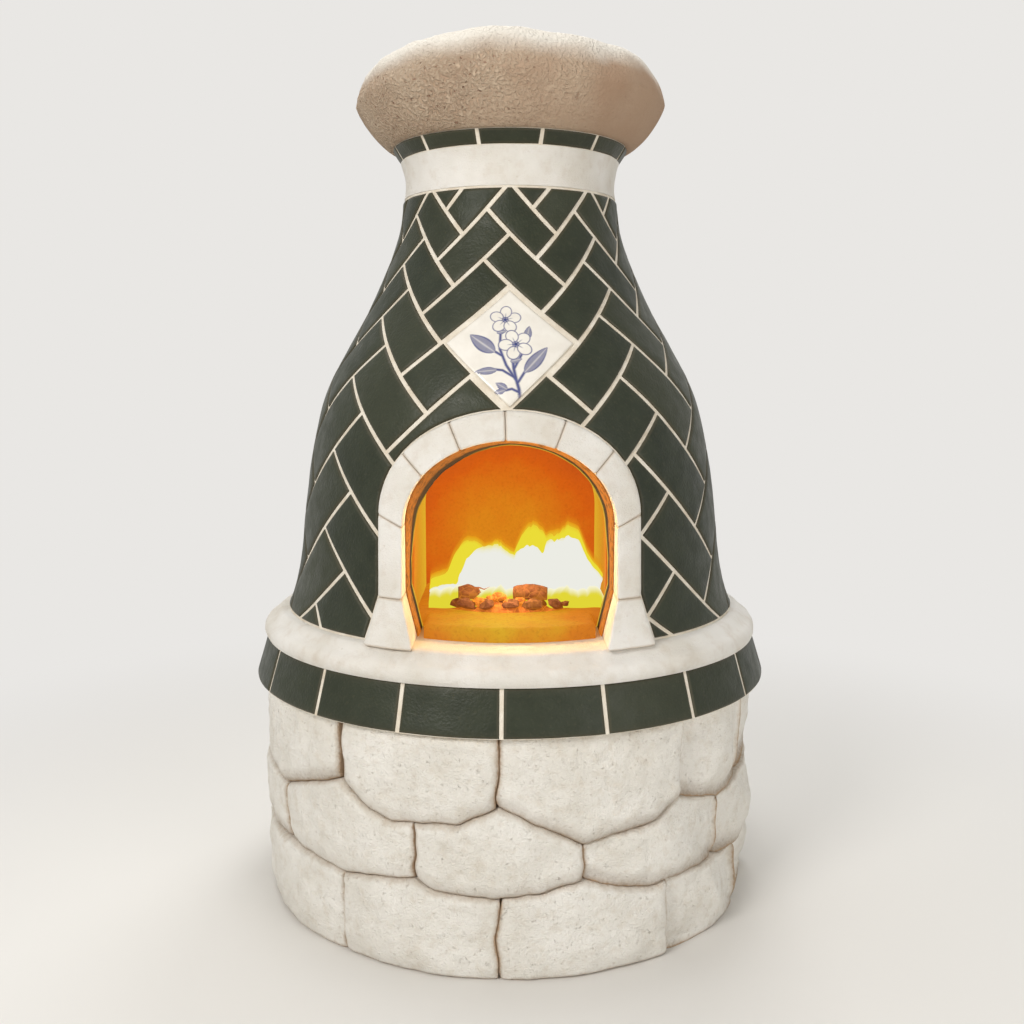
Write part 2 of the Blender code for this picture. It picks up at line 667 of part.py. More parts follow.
def arch_sections():
    """For each stone of the left foot, arch and right foot: pairs of inner and outer points."""
    inner_side, inner_spring, _ = ARCH_INNER
    outer_side, outer_spring, _ = ARCH_OUTER
    foot = (Vector((inner_side - FOOT_HEEL, 0)), Vector((outer_side + FOOT_TOE, 0)))
    knee = (Vector((inner_side, FOOT_HEIGHT)), Vector((outer_side, FOOT_HEIGHT)))
    spring = (Vector((inner_side, inner_spring)), Vector((outer_side, outer_spring)))
    stones = {}
    for side, sign in (("left", -1), ("right", 1)):
        for piece, (low, high) in (("foot", (foot, knee)), ("jamb", (knee, spring))):
            pairs = []
            for i in range(ARCH_STEPS + 1):
                pair = [low[n].lerp(high[n], i / ARCH_STEPS) for n in (0, 1)]
                pairs.append([Vector((sign * point.x, point.y)) for point in pair])
            stones[f"arch_{piece}_{side}"] = pairs
    for number, (start, end) in enumerate(zip(ARCH_JOINTS, ARCH_JOINTS[1:])):
        turns = [start + (end - start) * i / ARCH_STEPS for i in range(ARCH_STEPS + 1)]
        stones[f"arch_voussoir_{number + 1}"] = [
            [arch_point(shape, degrees) for shape in (ARCH_INNER, ARCH_OUTER)] for degrees in turns]
    return stones


def arch_outline(which, offset):
    """The inner (0) or outer (1) outline of the arch, feet included, moved out by an offset."""
    stones = arch_sections()
    names = ["arch_foot_left", "arch_jamb_left"]
    names += [f"arch_voussoir_{i + 1}" for i in range(len(ARCH_JOINTS) - 1)]
    outline = []
    for name in names:
        outline += [pair[which] for pair in stones[name]]
    for name in ("arch_jamb_right", "arch_foot_right"):
        outline += [pair[which] for pair in reversed(stones[name])]
    kept = [outline[0]]
    for point in outline[1:]:
        if (point - kept[-1]).length > MERGE:
            kept.append(point)
    moved = []
    for i, point in enumerate(kept):
        along = kept[min(i + 1, len(kept) - 1)] - kept[max(i - 1, 0)]
        outward = Vector((-along.y, along.x)).normalized()
        moved.append(point + outward * offset)
    return [(point.x, SHELF_TOP + point.y) for point in moved]


def open_mouth():
    """The cutter for the fire mouth, through the wall of the bell."""
    outline = arch_outline(1, GAP)
    first, last = outline[0], outline[-1]
    outline = [(first[0], SHELF_TOP - OVERCUT), *outline, (last[0], SHELF_TOP - OVERCUT)]
    front = BELL_PROFILE[0][1] + ARCH_PROUD + OVERCUT
    return slab("fire_mouth", outline, -front, 0.0)


def shortened(pairs):
    """The pairs of a stone with half a joint taken off each end."""
    trimmed = [list(pair) for pair in pairs]
    for end, inward in ((0, 1), (-1, -2)):
        for n in (0, 1):
            step = pairs[inward][n] - pairs[end][n]
            trimmed[end][n] = pairs[end][n] + step.normalized() * STONE_JOINT / 2
    return trimmed


def arch_stone(name, pairs, material):
    pairs = shortened(pairs)
    bm = bmesh.new()
    bmesh.ops.create_grid(bm, x_segments=len(pairs) - 1, y_segments=2, size=1)
    for vert in bm.verts:
        inner, outer = pairs[round((vert.co.x + 1) / 2 * (len(pairs) - 1))]
        point = inner.lerp(outer, (vert.co.y + 1) / 2)
        face = bell_radius(point.y) + ARCH_PROUD
        vert.co = (point.x, -math.sqrt(face ** 2 - point.x ** 2), SHELF_TOP + max(point.y, GAP))
    pushed = bmesh.ops.extrude_face_region(bm, geom=bm.faces[:])["geom"]
    for vert in new_verts(pushed):
        vert.co.y = -ARCH_BACK
    made = place(name, to_mesh(name, bm, smooth=True), material)
    edge = made.modifiers.new("worn edge", "BEVEL")
    edge.width = ARCH_EDGE
    edge.segments = 1
    edge.limit_method = "ANGLE"
    edge.angle_limit = math.radians(50)
    return made


def build_arch(plaster):
    for name, pairs in arch_sections().items():
        arch_stone(name, pairs, plaster)


# Firebox

def vault(shape, thickness, foot):
    """An arch's outline over straight legs, grown by a thickness, from the left foot to the right."""
    half_width, spring, crown = shape
    grown = (half_width + thickness, spring, crown + thickness)
    outline = [(-grown[0], foot)]
    for i in range(13):
        point = arch_point(grown, 180 - 15 * i)
        outline.append((point.x, SHELF_TOP + point.y))
    return [*outline, (grown[0], foot)]


def build_firebox(refractory, iron, hearth_brick):
    back = FIREBOX_BACK + LINING_THICKNESS
    lining = slab("firebox_lining", vault(LINING_INNER, LINING_THICKNESS, ON_SHELF), LINING_FRONT, back,
                  refractory)
    boolean(lining, slab("firebox_hollow", vault(LINING_INNER, 0.0, SHELF_TOP - OVERCUT),
                         LINING_FRONT - OVERCUT, FIREBOX_BACK))
    hole_back = FIREBOX_BACK - SMOKE_HOLE_SETBACK
    roof = SHELF_TOP + LINING_INNER[2]
    boolean(lining, box("smoke_hole",
                        (-SMOKE_HOLE_WIDTH / 2, hole_back - SMOKE_HOLE_DEPTH, SHELF_TOP + LINING_INNER[1]),
                        (SMOKE_HOLE_WIDTH / 2, hole_back, roof + LINING_THICKNESS + OVERCUT)))

    mouth = ARCH_INNER[0] - FOOT_HEEL - FLOOR_MOUTH_MARGIN
    side = LINING_INNER[0] - GAP
    lip = []
    for i in range(11):
        across = -1 + i / 5
        lip.append((mouth * across, -FLOOR_SIDE_FRONT - FLOOR_LIP * (1 - across ** 2)))
    floor = [(-mouth, LINING_FRONT), *lip, (mouth, LINING_FRONT), (side, LINING_FRONT),
             (side, FIREBOX_BACK - GAP), (-side, FIREBOX_BACK - GAP), (-side, LINING_FRONT)]
    slab("firebox_floor", floor, ON_SHELF, FLOOR_TOP, hearth_brick, upright=False)

    outside = arch_outline(0, -THROAT_RING_FIT)
    inside = arch_outline(0, -THROAT_RING_FIT - THROAT_RING_THICKNESS)
    for outline in (outside, inside):
        outline[0] = (outline[0][0], ON_SHELF)
        outline[-1] = (outline[-1][0], ON_SHELF)
    back = -(ARCH_BACK + GAP)
    slab("firebox_throat_ring", outside + inside[::-1], back - THROAT_RING_DEPTH, back, iron)


def split_log(name, length, thickness, height, across, forward, turn, foot, material):
    """A split billet: a round of wood with its lower and upper faces flat, ends a little skewed."""
    bm = bmesh.new()
    bmesh.ops.create_cone(bm, cap_ends=True, segments=10, radius1=0.5, radius2=0.47, depth=1.0)
    bmesh.ops.transform(bm, matrix=Matrix.Rotation(math.pi / 2, 4, "Y"), verts=bm.verts)
    flat = 0.40
    for vert in bm.verts:
        skew = 0.05 * (vert.co.y + vert.co.z) * (1 if vert.co.x > 0 else -1)
        rise = min(max(vert.co.z, -flat), flat) / (2 * flat)
        vert.co = ((vert.co.x + skew) * length, vert.co.y * thickness, (rise + 0.5) * height)
    made = place(name, to_mesh(name, bm), material)
    made.location = (across * EMBER_WIDTH, forward * EMBER_DEPTH - EMBER_SETBACK, foot)
    made.rotation_euler = (0, 0, math.radians(turn))
    return made


def build_fire_bed(ash, charred_wood):
    bm = bmesh.new()
    rise = EMBER_HEIGHT / math.sqrt(1 - EMBER_TOP_SHARE ** 2)
    bmesh.ops.create_uvsphere(bm, u_segments=20, v_segments=12, radius=1.0)
    for vert in bm.verts:
        height = min(max(vert.co.z * rise, 0.0), EMBER_HEIGHT)
        vert.co = (vert.co.x * EMBER_WIDTH / 2, vert.co.y * EMBER_DEPTH / 2, height)
    made = place("ember_bed", to_mesh("ember_bed", bm, smooth=True), ash)
    made.location = (0, -EMBER_SETBACK, FLOOR_TOP + GAP)
    for number, billet in enumerate(FIREWOOD):
        split_log(f"firewood_{number + 1}", *billet, EMBER_TOP + GAP, charred_wood)
    split_log(f"firewood_{len(FIREWOOD) + 1}", *TOP_LOG, EMBER_TOP + LOG_HEIGHT + 2 * GAP, charred_wood)


# Neck, crown and damper

KNOB_FOOT = DAMPER_HEIGHT - HANDLE_LENGTH - HANDLE_KNOB_RADIUS - SHELF_TOP
HANDLE_FRONT = max(COLLAR_TOP_RADIUS, bell_radius(KNOB_FOOT) + TILE_RISE) + HANDLE_STAND_OFF
SPINDLE_BACK = HANDLE_FRONT + HANDLE_THICKNESS + SPINDLE_PROUD


def build_neck(plaster, glaze, fired_clay, spindle_hole):
    collar = turned("neck_collar", [
        (NECK_CORE_RADIUS, NECK_TOP), (NECK_CORE_RADIUS, COLLAR_TOP), (COLLAR_TOP_RADIUS, COLLAR_TOP),
        (COLLAR_FOOT_RADIUS, COLLAR_FOOT), (LINER_HOLE_RADIUS, COLLAR_FOOT), (LINER_HOLE_RADIUS, NECK_TOP)],
        plaster)
    boolean(collar, spindle_hole)
    inner = NECK_CORE_RADIUS / FACET + GAP
    ring = turned("neck_tile_band", [(NECK_BAND_TOP_RADIUS, NECK_TOP), (COLLAR_TOP_RADIUS, NECK_BAND_FOOT),
                                     (inner, NECK_BAND_FOOT), (inner, NECK_TOP)], glaze)
    joints = [NECK_BAND_FIRST_JOINT + 360 / NECK_BAND_TILES * i for i in range(NECK_BAND_TILES)]
    boolean(ring, joint_cutters("neck_joints", joints, COLLAR_TOP_RADIUS, NECK_BAND_TOP_RADIUS,
                                NECK_BAND_FOOT, NECK_BAND_HEIGHT))
    top = CROWN_TOP + FLUE_ABOVE_CROWN
    liner = turned("flue_liner", [(LINER_RADIUS, top), (LINER_RADIUS, COLLAR_FOOT),
                                  (FLUE_BORE_RADIUS, COLLAR_FOOT), (FLUE_BORE_RADIUS, top)], fired_clay)
    boolean(liner, spindle_hole)


def crown_profile():
    """From the bore over the top, round the girth and under to the foot."""
    girth = CROWN_FOOT + CROWN_GIRTH_HEIGHT

    def swept(radius, height, degrees):
        angle = math.radians(degrees)
        return (radius + (CROWN_RADIUS - radius) * math.cos(angle) ** CROWN_BEVEL,
                girth + (height - girth) * math.sin(angle) ** CROWN_BEVEL)

    upper = [swept(CROWN_SHOULDER_RADIUS, CROWN_TOP, degrees) for degrees in (68, 52, 38, 24)]
    lower = [swept(CROWN_FOOT_RADIUS, CROWN_FOOT, degrees) for degrees in (0, 24, 42, 58, 72)]
    midway = (LINER_HOLE_RADIUS + CROWN_SHOULDER_RADIUS) / 2
    top = [(midway, CROWN_TOP), (CROWN_SHOULDER_RADIUS, CROWN_TOP)]
    foot = [(CROWN_FOOT_RADIUS, CROWN_FOOT), (LINER_HOLE_RADIUS, CROWN_FOOT)]
    return [(LINER_HOLE_RADIUS, CROWN_TOP), *top, *upper, *lower, *foot]


def build_crown(plaster):
    crown = turned("crown_cap", crown_profile(), plaster)
    shape = settle(crown)
    for vert in shape.vertices:
        point = vert.co
        radius = math.hypot(point.x, point.y)
        free = min(1.0, (point.z - CROWN_FOOT) / CROWN_GIRTH_HEIGHT)
        free *= min(1.0, (radius - LINER_HOLE_RADIUS) / (CROWN_FOOT_RADIUS - LINER_HOLE_RADIUS))
        lump = CROWN_LUMPS * noise.noise(Vector(point) * 6.0)
        across, forward = point.x / CREST_WIDTH, (point.y + CREST_SETTING) / CREST_WIDTH
        crest = CROWN_CREST * math.exp(-across ** 2 - forward ** 2)
        swell = 1 + lump * free / radius
        vert.co = (point.x * swell, point.y * swell, point.z + (crest + lump * 0.6) * free)
    shape.shade_smooth()


def build_damper(iron, spindle_hole):
    at = (0, 0, DAMPER_HEIGHT)
    plate = rod("damper_plate", PLATE_RADIUS, -PLATE_THICKNESS / 2, PLATE_THICKNESS / 2, iron, along="X",
                steps=TURN_STEPS, at=at)
    hub = rod("plate_hub", PLATE_HUB_RADIUS, -PLATE_HUB_LENGTH / 2, PLATE_HUB_LENGTH / 2, at=at)
    boolean(plate, hub, "UNION")
    boolean(plate, spindle_hole)
    rod("damper_spindle", SPINDLE_RADIUS, SPINDLE_FRONT + GAP, SPINDLE_BACK, iron, at=at)
    handle = rod("damper_handle", HANDLE_EYE_RADIUS, HANDLE_FRONT, HANDLE_FRONT + HANDLE_THICKNESS,
                 iron, at=at)
    middle = HANDLE_FRONT + HANDLE_THICKNESS / 2
    inset = HANDLE_THICKNESS / 10
    bar = box("handle_bar", (-HANDLE_WIDTH / 2, HANDLE_FRONT + inset, -HANDLE_LENGTH),
              (HANDLE_WIDTH / 2, HANDLE_FRONT + HANDLE_THICKNESS - inset, 0))
    bar.location = at
    boolean(handle, bar, "UNION")
    bm = bmesh.new()
    bmesh.ops.create_uvsphere(bm, u_segments=16, v_segments=10, radius=HANDLE_KNOB_RADIUS)
    knob = place("handle_knob", to_mesh("handle_knob", bm))
    knob.location = (0, middle, DAMPER_HEIGHT - HANDLE_LENGTH)
    boolean(handle, knob, "UNION")
    boolean(handle, spindle_hole)


def build():
    clear_scene()
    field_stone = finish("limewashed_field_stone", (0.76, 0.70, 0.61), 0.85)
    mortar = finish("lime_mortar", (0.62, 0.57, 0.50), 0.9)
    glaze = finish("green_glazed_tile", (0.035, 0.050, 0.036), 0.35)
    painted_glaze = finish("white_glazed_tile", (0.80, 0.79, 0.75), 0.3)
    plaster = finish("lime_plaster", (0.80, 0.75, 0.67), 0.8)
    refractory = finish("refractory_concrete", (0.42, 0.25, 0.14), 0.9)
    hearth_brick = finish("hearth_firebrick", (0.48, 0.28, 0.15), 0.9)
    fired_clay = finish("fired_clay", (0.45, 0.24, 0.15), 0.8)
    iron = finish("black_cast_iron", (0.03, 0.03, 0.03), 0.6, 0.8)
    ash = finish("ash_and_embers", (0.20, 0.11, 0.07), 0.95)
    charred_wood = finish("charred_wood", (0.06, 0.045, 0.04), 0.9)

    build_base(field_stone, mortar)
    build_band(glaze)
    build_shelf(plaster)
    build_bell(glaze, refractory, painted_glaze, open_mouth())
    build_arch(plaster)
    build_firebox(refractory, iron, hearth_brick)
    build_fire_bed(ash, charred_wood)
    spindle_hole = rod("spindle_hole", SPINDLE_HOLE_RADIUS, SPINDLE_FRONT, SPINDLE_BACK + OVERCUT,
                       at=(0, 0, DAMPER_HEIGHT))
    build_neck(plaster, glaze, fired_clay, spindle_hole)
    build_crown(plaster)
    build_damper(iron, spindle_hole)


build()
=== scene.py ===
import math
import random

import bmesh
import bpy
import numpy as np
from mathutils import Matrix, Vector, noise
from mathutils.geometry import delaunay_2d_cdt


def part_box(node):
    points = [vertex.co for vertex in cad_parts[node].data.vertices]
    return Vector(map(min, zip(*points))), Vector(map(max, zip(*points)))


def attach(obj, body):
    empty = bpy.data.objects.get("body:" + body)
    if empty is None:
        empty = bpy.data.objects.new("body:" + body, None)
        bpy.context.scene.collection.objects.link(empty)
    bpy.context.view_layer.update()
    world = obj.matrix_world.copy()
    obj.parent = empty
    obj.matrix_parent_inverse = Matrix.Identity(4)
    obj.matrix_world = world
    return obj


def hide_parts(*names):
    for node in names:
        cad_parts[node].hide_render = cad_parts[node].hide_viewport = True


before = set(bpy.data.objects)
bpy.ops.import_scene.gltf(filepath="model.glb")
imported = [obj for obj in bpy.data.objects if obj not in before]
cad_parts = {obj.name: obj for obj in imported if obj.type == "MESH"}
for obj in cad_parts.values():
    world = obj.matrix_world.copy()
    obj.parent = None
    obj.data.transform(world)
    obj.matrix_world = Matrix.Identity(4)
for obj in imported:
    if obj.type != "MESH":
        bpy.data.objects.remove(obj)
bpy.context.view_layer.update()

# Heights taken from the frame, in metres
GAP = 0.0003
BAND_FOOT, BAND_TOP = (corner.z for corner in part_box("shelf_tile_band"))
SHELF_FOOT, SHELF_TOP = (corner.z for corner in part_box("hearth_shelf"))
COLLAR_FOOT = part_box("neck_collar")[0].z
NECK_BAND_FOOT, NECK_BAND_TOP = (corner.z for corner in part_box("neck_tile_band"))
ON_SHELF = SHELF_TOP + GAP

# Stone base: joints in degrees from the front, lowest course first
CORE_RADIUS = 0.400
BASE_HEIGHT = 0.430
STONE_FACE_RADIUS = 0.494
STONE_JOINT = 0.0003              # between two stones' arrises
STONE_PITCH = 0.0062              # between the points of a stone's face
ARRIS_WIDTH, ARRIS_DEPTH = 0.0062, 0.0050
ROLL_BELOW, ROLL_ABOVE, ROLL_BESIDE = 0.036, 0.014, 0.022     # widths of a face's rolled borders
DIP_BELOW, DIP_ABOVE, DIP_BESIDE = 0.0085, 0.0065, 0.0055     # how far each border falls back
CALM_BORDER = 0.018               # this close to its edge a face is calmer than inside
EARTH_AND_SHADE_REACH = 0.0110              # of the earthen brown and painted shade on each side of a joint
UNDER_SHADE_HEIGHT = 0.034                 # height of the painted shade under a stone's foot
COURSE_JOINTS = (
    (-37, -2, 35, 66, 110, 152, 194, 238, 280),
    (-58.5, -19.5, 15, 52.5, 88, 131, 173, 216, 259),
    (-37, -2, 38, 66, 110, 152, 194, 238, 280),
)
BED_HEIGHTS = (0.149, 0.268)
BED_WANDER = (
    ((-58.5, 0.003), (-37, -0.001), (-26, 0.010), (-19.5, 0.019), (-15, 0.000), (-2, -0.004),
     (6, 0.004), (15, 0.020), (23, -0.003), (30, -0.016), (35, -0.011), (46, -0.013),
     (52.5, -0.014), (66, -0.028), (88, 0.001), (110, -0.009), (131, 0.017), (152, -0.006),
     (173, 0.011), (194, -0.011), (216, 0.016), (238, -0.002), (259, -0.021), (280, 0.003)),
    ((-58.5, -0.006), (-37, 0.050), (-30, 0.010), (-24.5, -0.006), (-19.5, -0.002),
     (-10, 0.005), (-2, 0.036), (3, 0.013), (9, -0.010), (15, -0.036), (21.5, -0.025),
     (31, -0.016), (38, 0.014), (46, -0.006), (52.5, -0.018), (66, -0.010), (88, 0.017),
     (110, -0.006), (131, -0.030), (152, 0.013), (173, -0.006), (194, -0.021), (216, 0.016),
     (238, -0.006), (259, -0.025), (280, 0.008)),
)

# Tile rings: foot and top radius, tiles, first joint in degrees from the front
SHELF_RING = (0.512, 0.488, 18, -1.5)
NECK_RING = (0.2140, 0.2300, 12, -15.0)
JOINT_WIDTH = 0.007
RING_BED = 0.003                  # mortar behind the glazed faces

# Bell: height over the shelf, radius of the face of the joints
BELL_PROFILE = (
    (0.0, 0.446), (0.022, 0.436), (0.061, 0.4248), (0.111, 0.4158), (0.171, 0.4095), (0.23, 0.4023),
    (0.29, 0.3932), (0.349, 0.3812), (0.407, 0.3654), (0.446, 0.3495), (0.505, 0.3175),
    (0.583, 0.2736), (0.621, 0.2555), (0.68, 0.2302), (0.737, 0.2123), (0.793, 0.2053),
)
BELL_HEIGHT = BELL_PROFILE[-1][0]
CLADDING_BED = 0.012
TILE_RISE = 0.0035
TILE_SUNK = 0.0008                # a tile's arris lies this far under the face of the joint
TILE_ROUND = 0.0055               # width of a tile's rounded border
TILE_INSETS = (0.0, 0.0004, 0.0012, 0.0028, 0.0055)
TILE_PITCH = 0.013                # between the points of a tile's face
COLUMNS = 8
FIRST_ROW, ROW_RISE, ROW_GROWTH = 5.5, 19.0, 0.54
PICTURE_ROW, PICTURE_HALF_ROWS, PICTURE_HALF_WIDTH, PICTURE_RISE = 3.5, 0.91, 20.5, 0.0045

# Arch: half width, springing and crown over the shelf
ARCH_INNER = (0.182, 0.200, 0.348)
ARCH_OUTER = (0.225, 0.220, 0.397)
FOOT_HEIGHT, FOOT_TOE, FOOT_HEEL = 0.080, 0.025, 0.019
ARCH_PROUD = 0.030
ARCH_BACK = 0.262
ARCH_JOINTS = (180, 144, 117, 92, 65, 38, 0)
ARCH_ROUND = 0.006
ARCH_JOINT = 0.0008               # between two stones' arrises

# Firebox
LINING_INNER = (0.175, 0.190, 0.343)
LINING_THICKNESS = 0.030
FIREBOX_BACK = 0.030
SMOKE_HOLE = (0.075, 0.19, 0.40)  # half width, and heights over the shelf that the cut reaches
RIM_WIDTH = 0.007                 # of the lining's front edge, painted with yellow firelight
FLOOR_THICKNESS = 0.025
FLOOR_SIDE_FRONT, FLOOR_LIP = 0.355, 0.035
EMBER_SETBACK, EMBER_WIDTH, EMBER_DEPTH, EMBER_HEIGHT = 0.165, 0.280, 0.200, 0.020
EMBER_FULLNESS = 2.6              # how soon the heap rises to its height from its edge
COALS, CHUNK_COUNT, CHUNK_STEP = 70, 11, 0.0205
CHUNK_FIRST, CHUNK_FRONT, CHUNK_STAGGER = -0.100, -0.068, 0.016
FLOOR_TOP = ON_SHELF + FLOOR_THICKNESS
EMBER_TOP = FLOOR_TOP + GAP + EMBER_HEIGHT
LOGS = (                          # length, thickness, height, across, forward, over the embers, turn
    (0.230, 0.050, 0.046, 0.000, -0.120, GAP, 4),
    (0.230, 0.050, 0.046, 0.0056, -0.190, GAP, -5),
    (0.063, 0.029, 0.028, -0.0644, -0.234, GAP, 12),
    (0.063, 0.029, 0.028, 0.0378, -0.241, GAP, -9),
    (0.150, 0.044, 0.040, 0.0521, -0.128, 0.0466, 74),
)

# Shelf, neck and crown
SHELF_RIM, SHELF_ROLL = 0.494, 0.022
COLLAR_RADIUS, COLLAR_FLARE, COLLAR_HOLLOW = 0.2075, 0.0065, 0.004
NECK_CORE_RADIUS = 0.186
LINER_HOLE = 0.0915
CROWN_FOOT_RADIUS, CROWN_RADIUS, CROWN_SHOULDER = 0.233, 0.297, 0.258
CROWN_GIRTH, CROWN_HEIGHT, CROWN_BEVEL = 0.081, 0.150, 1.5
CROWN_CREST, CREST_WIDTH, CREST_SETTING = 0.014, 0.10, 0.19
SPINDLE_HOLE = 0.0075
DAMPER_HEIGHT = COLLAR_FOOT + 0.0345

DRAWS = random.Random(11)


# Meshes and pieces

def round_front(radius, degrees, height):
    """The point at a radius, at an angle from the front towards +X, and at a height."""
    angle = math.radians(degrees)
    return (radius * math.sin(angle), -radius * math.cos(angle), height)


def lumps(point, size, octaves=1):
    """Smooth noise from -1 to 1 whose lumps are about a size in metres across."""
    value, gain = 0.0, 1.0
    for octave in range(octaves):
        value += gain * noise.noise(Vector(point) / size * 2 ** octave)
        gain *= 0.5
    return value


def held(value, low=0.0, high=1.0):
    """A value held between two others."""
    return max(low, min(high, value))


def piece(name, points, faces, material, slot, *nodes, body="root", sharp=45, marks=None):
    """A piece of the stove: its mesh, finish, body, and the CAD nodes it stands for."""
    mesh = bpy.data.meshes.new(name)
    mesh.from_pydata([tuple(point) for point in points], [], faces)
    for key, values in (marks or {}).items():
        layer = mesh.attributes.new(key, "FLOAT", "POINT")
        layer.data.foreach_set("value", np.asarray(values, dtype=np.float32))
    bm = bmesh.new()
    bm.from_mesh(mesh)
    bmesh.ops.remove_doubles(bm, verts=bm.verts, dist=1e-6)
    bmesh.ops.recalc_face_normals(bm, faces=bm.faces)
    bm.to_mesh(mesh)
    bm.free()
    mesh.shade_smooth()
    mesh.set_sharp_from_angle(angle=math.radians(sharp))
    mesh.materials.append(material)
    made = bpy.data.objects.new(name, mesh)
    bpy.context.scene.collection.objects.link(made)
    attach(made, body)
    if nodes:
        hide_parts(*nodes)
    return made


def grid_faces(rows, columns, closed=False):
    """Quads of a grid of points, row by row; a closed grid's last column meets its first."""
    faces = []
    for i in range(rows - 1):
        for j in range(columns if closed else columns - 1):
            following = (j + 1) % columns
            faces.append((i * columns + j, i * columns + following,
                          (i + 1) * columns + following, (i + 1) * columns + j))
    return faces


def tube_faces(rows, columns):
    """Faces of a closed grid, with a flat end before its first row and one after its last."""
    last = (rows - 1) * columns
    ends = [tuple(range(columns))[::-1], tuple(range(last, last + columns))]
    return grid_faces(rows, columns, closed=True) + ends


def block(front, back_of):
    """A closed block: a grid of front points, sides to back_of(point) and a flat back."""
    rows, columns = len(front), len(front[0])
    points = [point for row in front for point in row]
    faces = grid_faces(rows, columns)
    rim = [(0, j) for j in range(columns)] + [(i, columns - 1) for i in range(1, rows)]
    rim += [(rows - 1, j) for j in range(columns - 2, -1, -1)] + [(i, 0) for i in range(rows - 2, 0, -1)]
    first = len(points)
    for i, j in rim:
        points.append(back_of(front[i][j]))
    for n, (i, j) in enumerate(rim):
        following = (n + 1) % len(rim)
        k, m = rim[following]
        faces.append((i * columns + j, first + n, first + following, k * columns + m))
    faces.append(tuple(range(first, first + len(rim)))[::-1])
    return points, faces


def on_radius(radius):
    """What moves a point to a radius."""
    def moved(point):
        share = radius / math.hypot(point[0], point[1])
        return (point[0] * share, point[1] * share, point[2])
    return moved


def towards_axis(depth):
    """What moves a point a depth towards the axis."""
    def moved(point):
        share = 1 - depth / math.hypot(point[0], point[1])
        return (point[0] * share, point[1] * share, point[2])
    return moved


def join(parts):
    """Several (points, faces) as one."""
    points, faces = [], []
    for more_points, more_faces in parts:
        start = len(points)
        points += more_points
        faces += [tuple(start + i for i in face) for face in more_faces]
    return points, faces


def turn_profile(profile, steps, shape=None, ring=True):
    """A profile of (radius, height) turned about Z: a ring, or a solid with a flat end at each end.

    shape moves each (radius, degrees, height).
    """
    points = []
    for radius, height in profile:
        for j in range(steps):
            place = (radius, 360 * j / steps, height)
            points.append(round_front(*(shape(*place) if shape else place)))
    if not ring:
        return points, tube_faces(len(profile), steps)
    last = (len(profile) - 1) * steps
    faces = grid_faces(len(profile), steps, closed=True)
    faces += [(last + j, last + (j + 1) % steps, (j + 1) % steps, j) for j in range(steps)]
    return points, faces


def fine_steps(length, pitch, edge):
    """Shares along a length, close together in its two rounded edges and a pitch apart between."""
    ends = [0.0, 0.06, 0.18, 0.38, 0.66, 1.0]
    inner = max(1, round((length - 2 * edge) / pitch))
    places = [edge * end for end in ends]
    places += [edge + (length - 2 * edge) * i / inner for i in range(1, inner)]
    places += [length - edge * end for end in reversed(ends)]
    return [place / length for place in places]


def cut(made, cutter_points, cutter_faces):
    """Cuts a closed shape out of a piece."""
    mesh = bpy.data.meshes.new(made.name + "_cut")
    mesh.from_pydata([tuple(point) for point in cutter_points], [], cutter_faces)
    bm = bmesh.new()
    bm.from_mesh(mesh)
    bmesh.ops.recalc_face_normals(bm, faces=bm.faces)
    bm.to_mesh(mesh)
    bm.free()
    cutter = bpy.data.objects.new(made.name + "_cut", mesh)
    bpy.context.scene.collection.objects.link(cutter)
    change = made.modifiers.new("cut", "BOOLEAN")
    change.operation = "DIFFERENCE"
    change.solver = "EXACT"
    change.object = cutter
    bpy.context.view_layer.update()
    shape = bpy.data.meshes.new_from_object(made.evaluated_get(bpy.context.evaluated_depsgraph_get()))
    made.modifiers.clear()
    made.data = shape
    bpy.data.objects.remove(cutter, do_unlink=True)


def prism(outline, low, high):
    """An upright outline of (x, z) thickened along Y."""
    count = len(outline)
    points = [(x, low, z) for x, z in outline] + [(x, high, z) for x, z in outline]
    faces = [tuple(range(count)), tuple(range(2 * count - 1, count - 1, -1))]
    faces += [(i, i + count, (i + 1) % count + count, (i + 1) % count) for i in range(count)]
    return points, faces


# Finishes

def linear(colour):
    """An sRGB hex value as linear light."""
    parts = [int(colour[i:i + 2], 16) / 255 for i in (1, 3, 5)]
    return (*[part / 12.92 if part <= 0.04045 else ((part + 0.055) / 1.055) ** 2.4 for part in parts], 1.0)


def feed(tree, node, inputs):
    """Sets or links a node's inputs; a colour is given as its hex value."""
    for socket, value in inputs.items():
        if isinstance(value, bpy.types.NodeSocket):
            tree.links.new(value, node.inputs[socket])
        else:
            node.inputs[socket].default_value = linear(value) if isinstance(value, str) else value


def add(tree, kind, inputs, **settings):
    """Adds a node with its settings, and sets or links its inputs."""
    node = tree.nodes.new("ShaderNode" + kind)
    for key, value in settings.items():
        setattr(node, key, value)
    feed(tree, node, inputs)
    return node


def start(name, *marks):
    """A new material's tree and shader, the point in metres it is read at, and the marks it reads."""
    material = bpy.data.materials.new(name)
    material.use_nodes = True
    tree = material.node_tree
    point = add(tree, "TexCoord", {}).outputs["Object"]
    read = [add(tree, "Attribute", {}, attribute_name=mark).outputs["Fac"] for mark in marks]
    return material, tree, tree.nodes["Principled BSDF"], point, *read


def clouds(tree, point, size, detail=2.0, roughness=0.5, low=0.35, high=0.65):
    """Noise in patches of a size in metres, stretched from 0 to 1."""
    found = add(tree, "TexNoise", {"Vector": point, "Scale": 1 / size, "Detail": detail,
                                   "Roughness": roughness})
    return add(tree, "MapRange", {"Value": found.outputs["Fac"], "From Min": low, "From Max": high}
               ).outputs["Result"]


